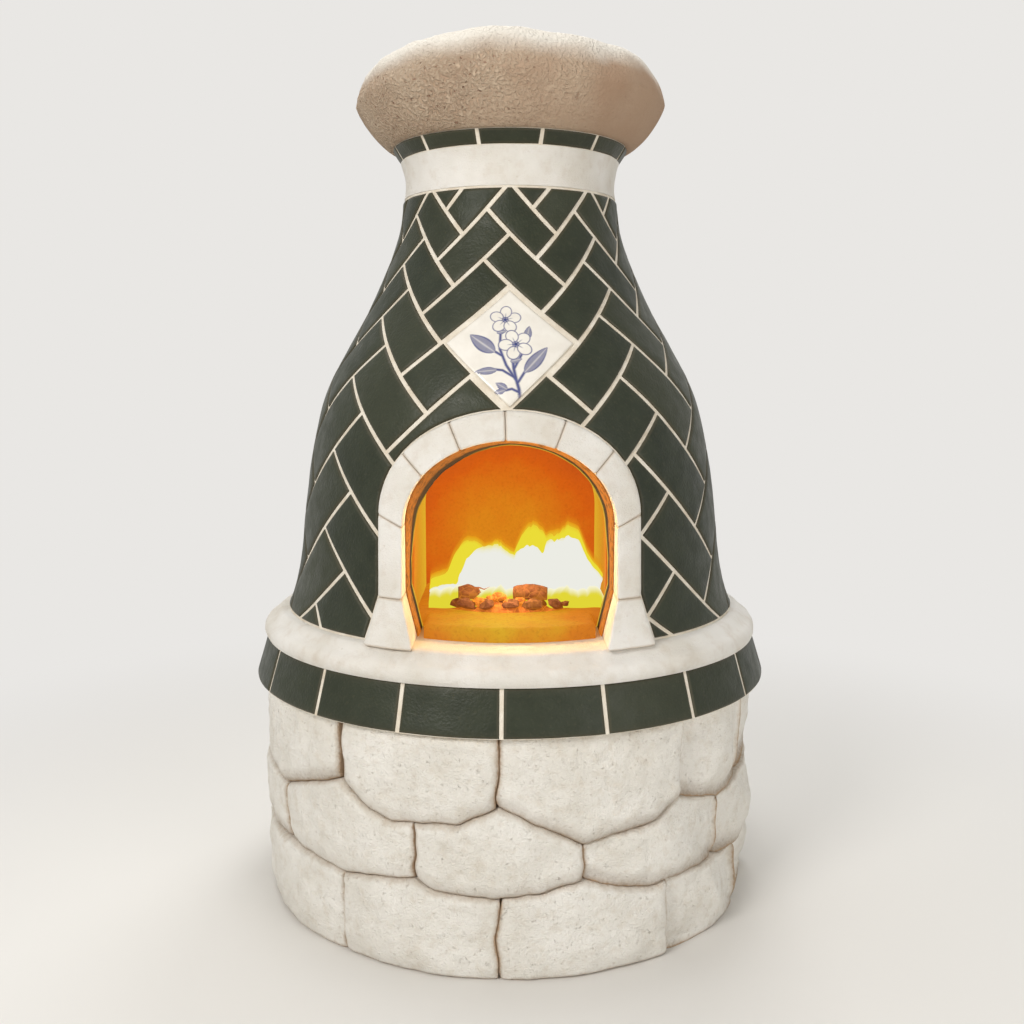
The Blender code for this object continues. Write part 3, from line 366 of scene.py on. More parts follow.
def washed(tree, under, wash, share, strength=1.0):
    """A colour washed over with another: fully where the share is 1 and the strength is 1."""
    if strength != 1.0:
        share = add(tree, "Math", {0: share, 1: strength}, operation="MULTIPLY").outputs[0]
    return add(tree, "Mix", {0: share, 6: under, 7: wash}, data_type="RGBA").outputs[2]


def relief(tree, *layers):
    """The normal of layers of relief, one over another: each its height, depth in metres and strength."""
    normal = None
    for height, depth, strength in layers:
        inputs = {"Height": height, "Distance": depth, "Strength": strength}
        if normal:
            inputs["Normal"] = normal
        normal = add(tree, "Bump", inputs).outputs["Normal"]
    return normal


def plaster(name, pale, dull, stain):
    """Lime plaster laid by hand: matt and cloudy, with a sandy face and a few small air pits."""
    material, tree, shader, point, worn = start(name, "arris")
    blotches = clouds(tree, point, 0.03, 5.0, 0.6, 0.5, 0.8)
    pits = clouds(tree, point, 0.007, 4.0, 0.65, 0.65, 0.76)
    sand = clouds(tree, point, 0.0030, 4.0, 0.6, 0.2, 0.8)
    colour = washed(tree, dull, pale, clouds(tree, point, 0.10, 3.0))
    colour = washed(tree, colour, stain, blotches, 0.3)
    colour = washed(tree, colour, stain, pits, 0.30)
    colour = washed(tree, colour, stain, worn, 0.6)
    feed(tree, shader, {"Base Color": colour, "Roughness": 0.86, "Specular IOR Level": 0.3,
                        "Normal": relief(tree, (sand, 0.0010, 0.9), (pits, -0.0008, 0.8))})
    return material


def thrown_plaster():
    """Coarse lime plaster thrown on: pitted and rusty, painted paler on top as light, and painted browner in
    its valleys and on its smoother right side as shade.
    """
    material, tree, shader, point, coarse, pale = start("thrown_lime_plaster", "coarse", "pale")
    dips = (clouds(tree, point, 0.0057, 3.0, 0.5, 0.62, 0.38),
            clouds(tree, point, 0.0085, 3.0, 0.5, 0.64, 0.70))
    valleys, pits = (add(tree, "Math", {0: dip, 1: coarse}, operation="MULTIPLY").outputs[0] for dip in dips)
    grain = clouds(tree, point, 0.0030, 4.0, 0.6, 0.2, 0.8)
    smooth_side_shade = add(tree, "Math", {0: 1.0, 1: coarse}, operation="SUBTRACT").outputs[0]
    colour = washed(tree, "#c4ad95", "#d2bea6", clouds(tree, point, 0.10, 3.0))
    # The smoother right side is washed browner: painted shade on the side away from the light
    colour = washed(tree, colour, "#947259", smooth_side_shade, 0.72)
    # Painted shade: the relief's valleys are darker
    colour = washed(tree, colour, "#966b4d", valleys, 0.30)
    colour = washed(tree, colour, "#84543a", pits, 0.65)
    # Painted light: the top is paler where it faces the light
    colour = washed(tree, colour, "#ebe5da", pale)
    normal = relief(tree, (valleys, -0.0042, 0.95), (pits, -0.0020, 0.8), (grain, 0.0007, 0.7))
    feed(tree, shader, {"Base Color": colour, "Roughness": 0.9, "Specular IOR Level": 0.25, "Normal": normal})
    return material


def field_stone():
    """Limewashed field stone laid dry: chalky and finely pitted, earthen brown and painted shade in the
    joints, and painted shade under each stone's foot.
    """
    material, tree, shader, point, arris, under = start("limewashed_field_stone", "arris", "under")
    blotches = clouds(tree, point, 0.02, 5.0, 0.6, 0.5, 0.75)
    pits = clouds(tree, point, 0.006, 4.0, 0.65, 0.62, 0.74)
    scabs = clouds(tree, point, 0.013, 4.0, 0.6, 0.25, 0.75)
    grit = clouds(tree, point, 0.0036, 4.0, 0.6, 0.25, 0.75)
    ragged = add(tree, "MapRange", {"Value": clouds(tree, point, 0.010, 3.0, 0.6, 0.2, 0.8),
                                    "To Min": -0.15, "To Max": 0.15}).outputs["Result"]
    near_joint = add(tree, "Math", {0: arris, 1: ragged}, operation="ADD").outputs[0]
    # Brown near each joint: earthen brown in the joint, and painted shade over the rolled groove
    groove_shade_and_earth = add(tree, "MapRange", {"Value": near_joint, "From Min": 0.15, "From Max": 0.75}).outputs["Result"]
    earth_and_shade = add(tree, "MapRange", {"Value": near_joint, "From Min": 0.62, "From Max": 0.82}).outputs["Result"]
    mottled = add(tree, "MapRange", {"Value": clouds(tree, point, 0.007, 4.0, 0.65, 0.3, 0.7),
                                     "To Min": 0.45, "To Max": 0.85}).outputs["Result"]
    colour = washed(tree, "#eae6dd", "#f5f2eb", clouds(tree, point, 0.09, 4.0, 0.55))
    colour = washed(tree, colour, "#cbbca5", blotches, 0.35)
    colour = washed(tree, colour, "#b39c80", pits, 0.3)
    # Painted shade: darker and mottled under each stone's foot
    colour = washed(tree, colour, "#8f7a64", under, mottled)
    colour = washed(tree, colour, "#b59c7e", groove_shade_and_earth, 0.5)
    colour = washed(tree, colour, "#b09272", earth_and_shade, 0.80)
    normal = relief(tree, (scabs, 0.0022, 0.7), (grit, 0.0019, 0.95), (pits, -0.0017, 0.85))
    feed(tree, shader, {"Base Color": colour, "Roughness": 0.9, "Specular IOR Level": 0.25, "Normal": normal})
    return material


def green_glaze():
    """Dark green glaze over pressed clay: a soft gloss dimpled like orange peel, browner where thin."""
    material, tree, shader, point, tone, arris = start("green_glazed_tile", "tone", "arris")
    pooled = clouds(tree, point, 0.045, 4.0, 0.6, 0.3, 0.7)
    flecks = clouds(tree, point, 0.006, 3.0, 0.6, 0.55, 0.75)
    shade = clouds(tree, point, 0.03, 3.0, 0.5, 0.3, 0.7)
    wave = clouds(tree, point, 0.03, 2.0, 0.5, 0.2, 0.8)
    peel = clouds(tree, point, 0.0045, 2.0, 0.5, 0.3, 0.7)
    colour = washed(tree, "#1f2619", "#2e3426", pooled)
    colour = washed(tree, colour, "#393c2b", tone, 0.5)
    colour = washed(tree, colour, "#4b4935", flecks, 0.3)
    colour = washed(tree, colour, "#57503f", arris, 0.6)
    gloss = add(tree, "MapRange", {"Value": shade, "To Min": 0.38, "To Max": 0.54}).outputs["Result"]
    feed(tree, shader, {"Base Color": colour, "Roughness": gloss, "IOR": 1.5, "Specular IOR Level": 0.26,
                        "Normal": relief(tree, (wave, 0.0012, 0.7), (peel, 0.0005, 0.7))})
    return material


def white_glaze():
    """Tin-white glaze with a cobalt painting fired into it: the brush pools darker at its edges."""
    material, tree, shader, point, ink, arris = start("painted_white_glaze", "ink", "arris")
    ground = washed(tree, "#e9e4da", "#f1ede4", clouds(tree, point, 0.03, 3.0))
    paint = washed(tree, "#1f2c66", "#39468c", clouds(tree, point, 0.005, 3.0, 0.6, 0.25, 0.75))
    colour = washed(tree, washed(tree, ground, paint, ink), "#cfc0a6", arris, 0.3)
    wave = clouds(tree, point, 0.02, 2.0, 0.5, 0.2, 0.8)
    feed(tree, shader, {"Base Color": colour, "Roughness": 0.22, "IOR": 1.52,
                        "Normal": relief(tree, (wave, 0.0006, 0.5))})
    return material


def sanded_joint():
    """Sanded lime grout between the tiles: creamy, gritty and dead matt."""
    material, tree, shader, point = start("sanded_lime_grout")
    colour = washed(tree, "#dcd0bc", "#efe8da", clouds(tree, point, 0.03, 4.0, 0.6))
    grit = clouds(tree, point, 0.0015, 3.0, 0.6, 0.2, 0.8)
    feed(tree, shader, {"Base Color": colour, "Roughness": 0.92, "Normal": relief(tree, (grit, 0.0005, 0.8))})
    return material


def earthy(name, dark, light, grain=0.004):
    """A coarse mineral surface that is mostly in shadow: mortar, concrete or fired clay."""
    material, tree, shader, point = start(name)
    colour = washed(tree, dark, light, clouds(tree, point, 0.03, 5.0, 0.6))
    grit = clouds(tree, point, grain, 4.0, 0.6, 0.2, 0.8)
    feed(tree, shader, {"Base Color": colour, "Roughness": 0.93, "Normal": relief(tree, (grit, 0.0008, 0.8))})
    return material


def firelit(name, clay, firelight_colours, specks):
    """Firebrick with the fire's light painted on as its own glow: a dull red away from the fire, orange
    nearer and yellow at its lit arrises.
    """
    material, tree, shader, point, heat_and_light, rim = start(name, "hotness_and_firelight", "arris")
    drift = add(tree, "MapRange", {"Value": clouds(tree, point, 0.06, 4.0, 0.6),
                                   "To Min": -0.08, "To Max": 0.08}).outputs["Result"]
    heat_and_light = add(tree, "Math", {0: heat_and_light, 1: drift}, operation="ADD").outputs[0]
    dull = add(tree, "MapRange", {"Value": heat_and_light, "From Max": 0.5}).outputs["Result"]
    brightest_firelight = add(tree, "MapRange", {"Value": heat_and_light, "From Min": 0.5}).outputs["Result"]
    dark = clouds(tree, point, 0.006, 4.0, 0.6, 0.5, 0.75)
    grit = clouds(tree, point, 0.006, 5.0, 0.6, 0.2, 0.8)
    # Painted firelight, dull red to yellow and given off as the brick's own glow
    light = washed(tree, washed(tree, firelight_colours[0], firelight_colours[1], dull), firelight_colours[2], brightest_firelight)
    light = washed(tree, light, "#e8c232", rim)
    light = washed(tree, light, "#8a3208", dark, specks)
    feed(tree, shader, {"Base Color": clay, "Roughness": 0.9, "Specular IOR Level": 0.2,
                        "Emission Color": light, "Emission Strength": 0.86,
                        "Normal": relief(tree, (grit, 0.0012, 0.8))})
    return material


def sooted_iron():
    """Iron round the firebox's throat: sooty black, with the fire's light painted on as orange patches and a
    yellow front edge.
    """
    material, tree, shader, point, heat_and_light, rim = start("soot_black_iron", "hotness_and_firelight", "arris")
    patch = clouds(tree, point, 0.012, 5.0, 0.65, 0.25, 0.52)
    grit = clouds(tree, point, 0.004, 4.0, 0.6, 0.2, 0.8)
    # Painted firelight, given off as the iron's own glow
    glow = washed(tree, washed(tree, "#1a0d06", "#e07c1e", heat_and_light, patch), "#e8c232", rim)
    feed(tree, shader, {"Base Color": "#1c1410", "Roughness": 0.93, "Emission Color": glow,
                        "Emission Strength": 0.9, "Normal": relief(tree, (grit, 0.0010, 0.8))})
    return material


def char(name, scale_size, dark, light, shade, strength):
    """Burning wood: charred scales with a dull orange glow, partly their own and partly painted firelight,
    and the fire showing in the cracks between them.
    """
    material, tree, shader, point, heat_and_light = start(name, "hotness_and_firelight")
    scales = add(tree, "TexVoronoi", {"Vector": point, "Scale": 1 / scale_size, "Randomness": 1.0},
                 feature="DISTANCE_TO_EDGE").outputs["Distance"]
    crack = add(tree, "MapRange", {"Value": scales, "From Min": 0.10, "From Max": 0.0}).outputs["Result"]
    patch = clouds(tree, point, 0.02, 3.0, 0.6, 0.35, 0.65)
    dimmed = add(tree, "Math", {0: patch, 1: 0.6}, operation="MULTIPLY").outputs[0]
    lit = add(tree, "Math", {0: crack, 1: dimmed}, operation="MAXIMUM").outputs[0]
    colour = washed(tree, dark, light, clouds(tree, point, 0.008, 4.0, 0.6))
    feed(tree, shader, {"Base Color": colour, "Roughness": 0.95,
                        "Emission Color": washed(tree, shade, "#ffa02a", lit, heat_and_light),
                        "Emission Strength": strength, "Normal": relief(tree, (scales, 0.004, 0.8))})
    return material


def flame(name, tip, heart, body):
    """Burning gas: light of its own and no surface, cooler towards its edge; a veil is thin too."""
    material, tree, shader, _, heat_and_light = start(name, "hotness_and_firelight")
    feed(tree, shader, {"Base Color": "#000000", "Roughness": 1.0, "Specular IOR Level": 0.0,
                        "Emission Color": washed(tree, tip, heart, heat_and_light), "Emission Strength": 1.0})
    if body < 1:
        thin = add(tree, "Math", {0: heat_and_light, 1: body}, operation="MULTIPLY").outputs[0]
        feed(tree, shader, {"Alpha": thin})
    return material


def cast_iron():
    """Sand-cast iron, stove blacked: a metal under a dull black skin, grained by the mould."""
    material, tree, shader, point = start("blacked_cast_iron")
    colour = washed(tree, "#1d1c1b", "#33302d", clouds(tree, point, 0.012, 4.0, 0.6))
    grain = clouds(tree, point, 0.0025, 3.0, 0.5, 0.2, 0.8)
    feed(tree, shader, {"Base Color": colour, "Metallic": 0.6, "Roughness": 0.55,
                        "Normal": relief(tree, (grain, 0.0004, 0.7))})
    return material


LIMESTONE = field_stone()
GREEN = green_glaze()
PAINTED = white_glaze()
GROUT = sanded_joint()
MORTAR = earthy("earthen_mortar", "#4b3a2a", "#6e5740")
PLASTER = plaster("hand_laid_lime_plaster", "#e9e6e0", "#dcd7cd", "#b39b7d")
CROWN_PLASTER = thrown_plaster()
# The firebrick's glow is painted firelight
HEARTH = firelit("firelit_firebrick_lining", "#4a200c", ("#b8481a", "#da6213", "#e08a1a"), 0.22)
HEARTH_FLOOR = firelit("firelit_firebrick_floor", "#3c2810", ("#b0501a", "#dc7f18", "#dfc226"), 0.30)
SOOT = sooted_iron()
# The logs' and chunks' dull glow is painted firelight; the embers glow of themselves
CHAR = char("charred_firewood", 0.013, "#2c150a", "#4e2e1f", "#94400e", 0.6)
EMBERS = char("glowing_embers", 0.014, "#4a2410", "#96562a", "#9a480c", 1.0)
CHUNKS = char("half_burnt_chunks", 0.02, "#2a140a", "#5e3e30", "#8c3a0c", 0.5)
FLAME_HEART = flame("flame_heart", "#efe34c", "#ecece4", 1.0)
FLAME_FRINGE = flame("flame_fringe", "#e39416", "#ebdc38", 1.0)
FLAME_VEIL = flame("flame_veil", "#e08418", "#e6a21e", 0.55)
FLAME_LICK = flame("flame_licks", "#f8f5d8", "#e2d638", 1.0)
IRON = cast_iron()
FIRED_CLAY = earthy("fired_clay_flue", "#8f5636", "#b27450", 0.003)
REFRACTORY = earthy("refractory_concrete", "#84603f", "#a3805c")


# Stone base

def bed(level, degrees):
    """Height of the joint under a course, or of the base's foot or top."""
    if level == 0:
        return 0.0
    if level > len(BED_HEIGHTS):
        return BASE_HEIGHT
    stations, rises = zip(*BED_WANDER[level - 1])
    wavers = 0.0026 * lumps(round_front(STONE_FACE_RADIUS, degrees, 5.0 * level), 0.035, 2)
    return BED_HEIGHTS[level - 1] + float(np.interp(degrees, stations, rises, period=360)) + wavers


def upright(course, joint, height):
    """Degrees from the front of an upright joint at a height: it wavers as the stones were split."""
    wavers = 0.009 * lumps((joint * 0.7, 3.0 * course, height), 0.06, 2)
    return joint + math.degrees(wavers / STONE_FACE_RADIUS)


def border(distance, width):
    """1 on an arris, falling to 0 where its worn border ends."""
    return max(0.0, 1 - distance / width) ** 2


def split_planes(course, number, middle):
    """The planes a stone's face was split along, steeper at the right: (tilt sideways, upwards, height)."""
    draws = random.Random(31 * course + number)
    turned = (middle + 180) % 360 - 180
    steep = 0.05 + 0.20 * held((turned - 18) / 20)
    planes = []
    for i in range(5):
        angle = math.tau * (i + draws.uniform(-0.3, 0.3)) / 5
        slope = steep * draws.uniform(0.5, 1.3)
        planes.append((slope * math.cos(angle), slope * math.sin(angle), draws.uniform(0.003, 0.009)))
    return planes


def split_height(planes, sideways, upwards):
    """The face that several split planes leave, their arrises a little worn."""
    worn = 0.0009
    found = sum(math.exp(-(height - a * sideways - b * upwards) / worn) for a, b, height in planes)
    return -worn * math.log(found)


def laid_stone(course, number, left, right):
    """One field stone: a split face, rolled under at its foot, on a block that reaches the core."""
    name = f"base_stone_{course + 1}_{number + 1}"
    inset = math.degrees(STONE_JOINT / 2 / STONE_FACE_RADIUS)
    middle = (left + right) / 2
    width = math.radians(right - left) * STONE_FACE_RADIUS
    tall = bed(course + 1, middle) - bed(course, middle)
    planes = split_planes(course, number, middle)
    centre = (bed(course + 1, middle) + bed(course, middle)) / 2
    front, arris, under = [], [], []
    for share in fine_steps(tall, STONE_PITCH, 0.021):
        row = []
        for part in fine_steps(width, STONE_PITCH, 0.021):
            degrees = left + (right - left) * part
            height = bed(course, degrees) + (bed(course + 1, degrees) - bed(course, degrees)) * share
            side_a = upright(course, left, height) + inset
            side_b = upright(course, right, height) - inset
            degrees = side_a + (side_b - side_a) * (part + 0.02 * (0.5 - part) * (2 * share - 1) ** 10)
            low = bed(course, degrees) + (STONE_JOINT / 2 if course else 0.0)
            high = bed(course + 1, degrees) - (STONE_JOINT / 2 if course < len(BED_HEIGHTS) else 0.0)
            height = low + (high - low) * (share + 0.02 * (0.5 - share) * (2 * part - 1) ** 10)
            to_side = math.radians(min(degrees - side_a, side_b - degrees)) * STONE_FACE_RADIUS
            to_low, to_high = height - low, high - height
            nearest_edge = min(to_side, to_low, to_high)
            at = round_front(STONE_FACE_RADIUS, degrees, height)
            recess = ARRIS_DEPTH * border(nearest_edge, ARRIS_WIDTH)
            recess += DIP_BESIDE * border(to_side, ROLL_BESIDE)
            recess += DIP_BELOW * border(to_low, ROLL_BELOW) + DIP_ABOVE * border(to_high, ROLL_ABOVE)
            sideways = math.radians(degrees - middle) * STONE_FACE_RADIUS
            face = split_height(planes, sideways, height - centre)
            swell = 0.005 * lumps(at, 0.11)
            lump = 0.0042 * lumps(at, 0.040, 2) + 0.0014 * lumps(at, 0.013, 2)
            own = 1 - 0.85 * border(nearest_edge, CALM_BORDER)
            row.append(round_front(STONE_FACE_RADIUS + swell + (face + lump) * own - recess, degrees, height))
            # Less brown along a stone's top edge than along its foot and sides: partly painted shade
            earth_and_shade = 0.60 if to_high == nearest_edge else 0.90
            arris.append(earth_and_shade * max(0.0, 1 - nearest_edge / EARTH_AND_SHADE_REACH))
            # Painted shade under each stone's foot, stronger towards the right
            right_side_shade = held((degrees + 45) / 70, 0.25)
            under.append(right_side_shade * max(0.0, 1 - to_low / UNDER_SHADE_HEIGHT) ** 1.3 if course else 0.0)
        front.append(row)
    points, faces = block(front, on_radius(CORE_RADIUS + 0.004))
    arris += [1.0] * (len(points) - len(arris))
    under += [1.0] * (len(points) - len(under))
    marks = {"arris": arris, "under": under}
    piece(name, points, faces, LIMESTONE, "field_stone", name, marks=marks, sharp=70)


def lay_base():
    """Three courses of field stones round the rubble core."""
    for course, joints in enumerate(COURSE_JOINTS):
        for number, (left, right) in enumerate(zip(joints, joints[1:] + (joints[0] + 360,))):
            laid_stone(course, number, left, right)


# Tile rings

def rounded_rise(distance, full=TILE_RISE + TILE_SUNK, border=TILE_ROUND):
    """How far a glazed face stands over its arris at a distance from it."""
    inside = np.clip(np.asarray(distance) / border, 0, 1)
    return full * np.sqrt(1 - (1 - inside) ** 2)


def ring_tile(number, count, first, foot_radius, top_radius, foot, top, inner):
    """One tile of a ring, with its rounded face, as points, faces and marks."""
    start_at = first + 360 / count * number
    half = 180 / count - math.degrees(JOINT_WIDTH / 2 / max(foot_radius, top_radius))
    middle = start_at + 180 / count
    height = top - foot
    width = math.radians(2 * half) * foot_radius
    across = fine_steps(width, 0.012, 0.006)
    up = fine_steps(height, 0.010, 0.005)
    tone, shift = DRAWS.random(), DRAWS.uniform(-0.0005, 0.0003)
    front, arris = [], []
    for share in up:
        row = []
        for part in across:
            degrees = middle + half * (2 * part - 1)
            level = foot + height * share
            edge = min(min(part, 1 - part) * width, min(share, 1 - share) * height)
            at = round_front(foot_radius, degrees, level)
            radius = foot_radius + (top_radius - foot_radius) * share - 0.003
            radius += float(rounded_rise(edge, 0.003, 0.006)) + shift + 0.0006 * lumps(at, 0.05) - 0.0004
            row.append(round_front(radius, degrees, level))
            arris.append(max(0.0, 1 - edge / 0.006))
        front.append(row)
    points, faces = block(front, on_radius(inner))
    arris += [1.0] * (len(points) - len(arris))
    return points, faces, arris, [tone] * len(points)


def lay_ring(name, sizes, foot, top, inner, node):
    """A ring of glazed tiles, and the mortar that shows between them."""
    foot_radius, top_radius, count, first = sizes
    parts, arris, tone = [], [], []
    for number in range(count):
        points, faces, edges, tones = ring_tile(number, count, first, foot_radius, top_radius,
                                                foot + 0.0008, top - 0.0008, inner + 0.006)
        parts.append((points, faces))
        arris += edges
        tone += tones
    points, faces = join(parts)
    piece(name + "_tiles", points, faces, GREEN, "green_glaze", node,
          marks={"arris": arris, "tone": tone}, sharp=60)
    profile = [(top_radius - RING_BED, top), (foot_radius - RING_BED, foot), (inner, foot), (inner, top)]
    points, faces = turn_profile(profile, 144)
    piece(name + "_joints", points, faces, GROUT, "mortar", sharp=30)


# Shelf and neck

def pour_shelf():
    """The plastered hearth shelf, its rim rolled over by hand."""
    rim_top = SHELF_TOP - 0.016
    profile = [(0.0001, SHELF_TOP)]
    profile += [(0.08 + 0.0465 * i, SHELF_TOP) for i in range(9)]
    profile += [(0.460, SHELF_TOP - 0.0004), (0.466, SHELF_TOP - 0.004), (0.471, SHELF_TOP - 0.010)]
    for degrees in (72, 55, 40, 25, 10, -5, -20, -35):
        angle = math.radians(degrees)
        profile.append((SHELF_RIM - SHELF_ROLL * (1 - math.cos(angle)),
                        rim_top - SHELF_ROLL * (1 - math.sin(angle))))
    profile += [(0.486, SHELF_FOOT + 0.002), (0.480, SHELF_FOOT), (0.0001, SHELF_FOOT)]

    def by_hand(radius, degrees, height):
        at = round_front(radius, degrees, height)
        free = held((radius - 0.452) / 0.012) * min(1.0, (height - SHELF_FOOT) / 0.01)
        lump = 0.0030 * lumps(at, 0.16) + 0.0016 * lumps(at, 0.045) + 0.0006 * lumps(at, 0.014)
        return radius + lump * free, degrees, height + 0.5 * lump * free

    points, faces = turn_profile(profile, 288, by_hand, ring=False)
    piece("hearth_shelf", points, faces, PLASTER, "lime_plaster", "hearth_shelf", sharp=60)


def render_collar():
    """The plastered neck between the bell and the small tile ring."""
    height = NECK_BAND_FOOT - GAP - COLLAR_FOOT
    profile = [(NECK_CORE_RADIUS, NECK_BAND_TOP), (NECK_CORE_RADIUS, NECK_BAND_FOOT - GAP)]
    for i in range(13):
        share = 1 - i / 12
        hollow = COLLAR_HOLLOW * math.sin(math.pi * share)
        profile.append((COLLAR_RADIUS + COLLAR_FLARE * share ** 1.5 - hollow, COLLAR_FOOT + height * share))
    profile += [(LINER_HOLE, COLLAR_FOOT), (LINER_HOLE, NECK_BAND_TOP)]

    def by_hand(radius, degrees, level):
        if radius < COLLAR_RADIUS - 0.0125:
            return radius, degrees, level
        at = round_front(radius, degrees, level)
        return radius + 0.0016 * lumps(at, 0.06) + 0.0008 * lumps(at, 0.018) - 0.001, degrees, level

    points, faces = turn_profile(profile, 192, by_hand)
    made = piece("neck_collar", points, faces, PLASTER, "lime_plaster", "neck_collar", sharp=50)
    drill = []
    steps = 24
    for y in (0.0, 0.25):
        for i in range(steps):
            angle = math.tau * i / steps
            drill.append((SPINDLE_HOLE * math.cos(angle), y, DAMPER_HEIGHT + SPINDLE_HOLE * math.sin(angle)))
    cut(made, drill, tube_faces(2, steps))


def crown_profile():
    """From the flue over the flat top, round the girth and under to the foot."""
    foot = NECK_BAND_TOP + GAP
    girth, top = foot + CROWN_GIRTH, foot + CROWN_HEIGHT

    def swept(radius, height, degrees):
        angle = math.radians(degrees)
        return (radius + (CROWN_RADIUS - radius) * math.cos(angle) ** CROWN_BEVEL,
                girth + (height - girth) * math.sin(angle) ** CROWN_BEVEL)

    flat = [(LINER_HOLE + (CROWN_SHOULDER - LINER_HOLE) * i / 12, top) for i in range(13)]
    upper = [swept(CROWN_SHOULDER, top, 90 - 6 * i) for i in range(1, 15)]
    lower = [swept(CROWN_FOOT_RADIUS, foot, 6 * i) for i in range(15)]
    return [*flat, *upper, *lower, (CROWN_FOOT_RADIUS, foot), (0.18, foot), (LINER_HOLE, foot)], foot


def trowel_crown():
    """The crown: plaster thrown on by hand, left rough but for its top and its smoother right side; its marks
    also paint light on the top and shade on the right side.
    """
    profile, foot = crown_profile()
    coarse, pale = [], []

    def by_hand(radius, degrees, height):
        at = Vector(round_front(radius, degrees, height))
        free = min(1.0, (height - foot) / 0.05) * min(1.0, (radius - LINER_HOLE) / 0.05)
        # Rough at the left, smoother at the right, and evenly rough behind; the smoother right side is also
        # painted browner as shade
        rough = held(0.75 - at.x * 3.2 + 0.35 * lumps(at, 0.08), 0.12)
        behind = held(at.y / 0.20)
        rough += (0.6 - rough) * behind * behind * (3 - 2 * behind)
        level = (height - foot) / CROWN_HEIGHT + 0.06 * lumps(at, 0.06, 2)
        # pale marks the top for painted light; the top is also left less coarse
        on_top = held((level - 0.69) / 0.23)
        coarse.append(max(rough, on_top) * (1 - 0.6 * on_top))
        pale.append(on_top)
        lump = 0.007 * noise.noise(at * 6.0) + 0.003 * lumps(at, 0.055) + 0.0014 * lumps(at, 0.011, 2) * rough
        lump *= free
        from_crest = (at.x / CREST_WIDTH) ** 2 + ((at.y + CREST_SETTING) / CREST_WIDTH) ** 2
        crest = CROWN_CREST * math.exp(-from_crest)
        return radius + lump, degrees, height + (crest + lump * 0.6) * free

    points, faces = turn_profile(profile, 300, by_hand)
    piece("crown_cap", points, faces, CROWN_PLASTER, "lime_plaster", "crown_cap",
          marks={"coarse": coarse, "pale": pale}, sharp=80)


# Bell

def bell_radii(heights):
    """Radius of the face of the joints at heights over the shelf, smooth between its points."""
    known, radii = (np.array(column) for column in zip(*BELL_PROFILE))
    slopes = np.gradient(radii, known)
    heights = np.clip(heights, known[0], known[-1])
    at = np.clip(np.searchsorted(known, heights) - 1, 0, len(known) - 2)
    span = known[at + 1] - known[at]
    t = (heights - known[at]) / span
    return ((1 + 2 * t) * (1 - t) ** 2 * radii[at] + t * (1 - t) ** 2 * span * slopes[at]
            + t * t * (3 - 2 * t) * radii[at + 1] + t * t * (t - 1) * span * slopes[at + 1])


LEVELS = np.linspace(0, BELL_HEIGHT, 1600)
LEVEL_RADII = bell_radii(LEVELS)
LEVEL_RISE = np.concatenate([[0], np.degrees(np.cumsum(
    np.hypot(np.diff(LEVELS), np.diff(LEVEL_RADII)) / ((LEVEL_RADII[1:] + LEVEL_RADII[:-1]) / 2)))])
FOOT_RISE, NECK_RISE = 0.0, float(LEVEL_RISE[-1])


def row_rise(row):
    """How far up the bell a row of tiles starts, in degrees of the unrolled bell."""
    return FIRST_ROW + ROW_RISE * row + ROW_GROWTH * row * row


def level_at(rise):
    """Height over the shelf at a rise."""
    return float(np.interp(rise, LEVEL_RISE, LEVELS))


def radius_at(rise):
    """Radius of the face of the joints at a rise."""
    return float(np.interp(rise, LEVEL_RISE, LEVEL_RADII))


def rise_of(level):
    """The rise at a height over the shelf."""
    return float(np.interp(level, LEVELS, LEVEL_RISE))


def drawn_in(corners, room):
    """The corners of a slanting tile, each side moved in by a length in metres."""
    left, top, right, bottom = corners
    row = (top[1] + bottom[1]) / 2
    degrees = math.degrees(room / radius_at(row_rise(row)))
    per_row = ROW_RISE + 2 * ROW_GROWTH * row
    slope = math.atan2((top[1] - left[1]) * per_row, top[0] - left[0])
    up = degrees / math.cos(slope) / per_row
    side = degrees / math.sin(slope)
    return [(left[0] + side, left[1]), (bottom[0], bottom[1] + up),
            (right[0] - side, right[1]), (top[0], top[1] - up)]


def herringbone():
    """Every tile of the herringbone, as corners of (degrees from the front, row)."""
    column = 360 / COLUMNS
    tiles = []
    for k in range(-1, 10):
        for i in range(COLUMNS):
            at = (i - COLUMNS // 2) * column
            tiles.append([(at - 0.75 * column, k), (at - 0.25 * column, k + 1), (at, k + 0.5),
                          (at - 0.5 * column, k - 0.5)])
            tiles.append([(at - 0.25 * column, k), (at, k + 0.5), (at + 0.5 * column, k - 0.5),
                          (at + 0.25 * column, k - 1)])
    return tiles


def unrolled(corners, pitch):
    """An outline of (degrees, row) corners as points of (degrees, rise), a pitch in metres apart."""
    outline = []
    for (a, low), (b, high) in zip(corners, corners[1:] + corners[:1]):
        scale = math.radians(radius_at(row_rise((low + high) / 2)))
        length = math.hypot(b - a, row_rise(high) - row_rise(low)) * scale
        parts = max(1, round(length / pitch))
        for i in range(parts):
            share = i / parts
            outline.append((a + (b - a) * share, row_rise(low + (high - low) * share)))
    return outline


def nearest(points, outline, closed=True):
    """Distance from each point to an outline."""
    starts = np.array(outline if closed else outline[:-1], dtype=float)
    ends = np.array(list(outline[1:]) + ([outline[0]] if closed else []), dtype=float)
    along = ends - starts
    away = points[:, None, :] - starts[None]
    share = np.clip((away * along).sum(2) / np.maximum((along * along).sum(1), 1e-12), 0, 1)
    return np.linalg.norm(away - share[..., None] * along[None], axis=2).min(1)


def arch_point(shape, degrees):
    """A point of an arch's outline: 180 degrees is its left springing, 0 its right."""
    half_width, spring, crown = shape
    angle = math.radians(degrees)
    return Vector((half_width * math.cos(angle), spring + (crown - spring) * math.sin(angle)))


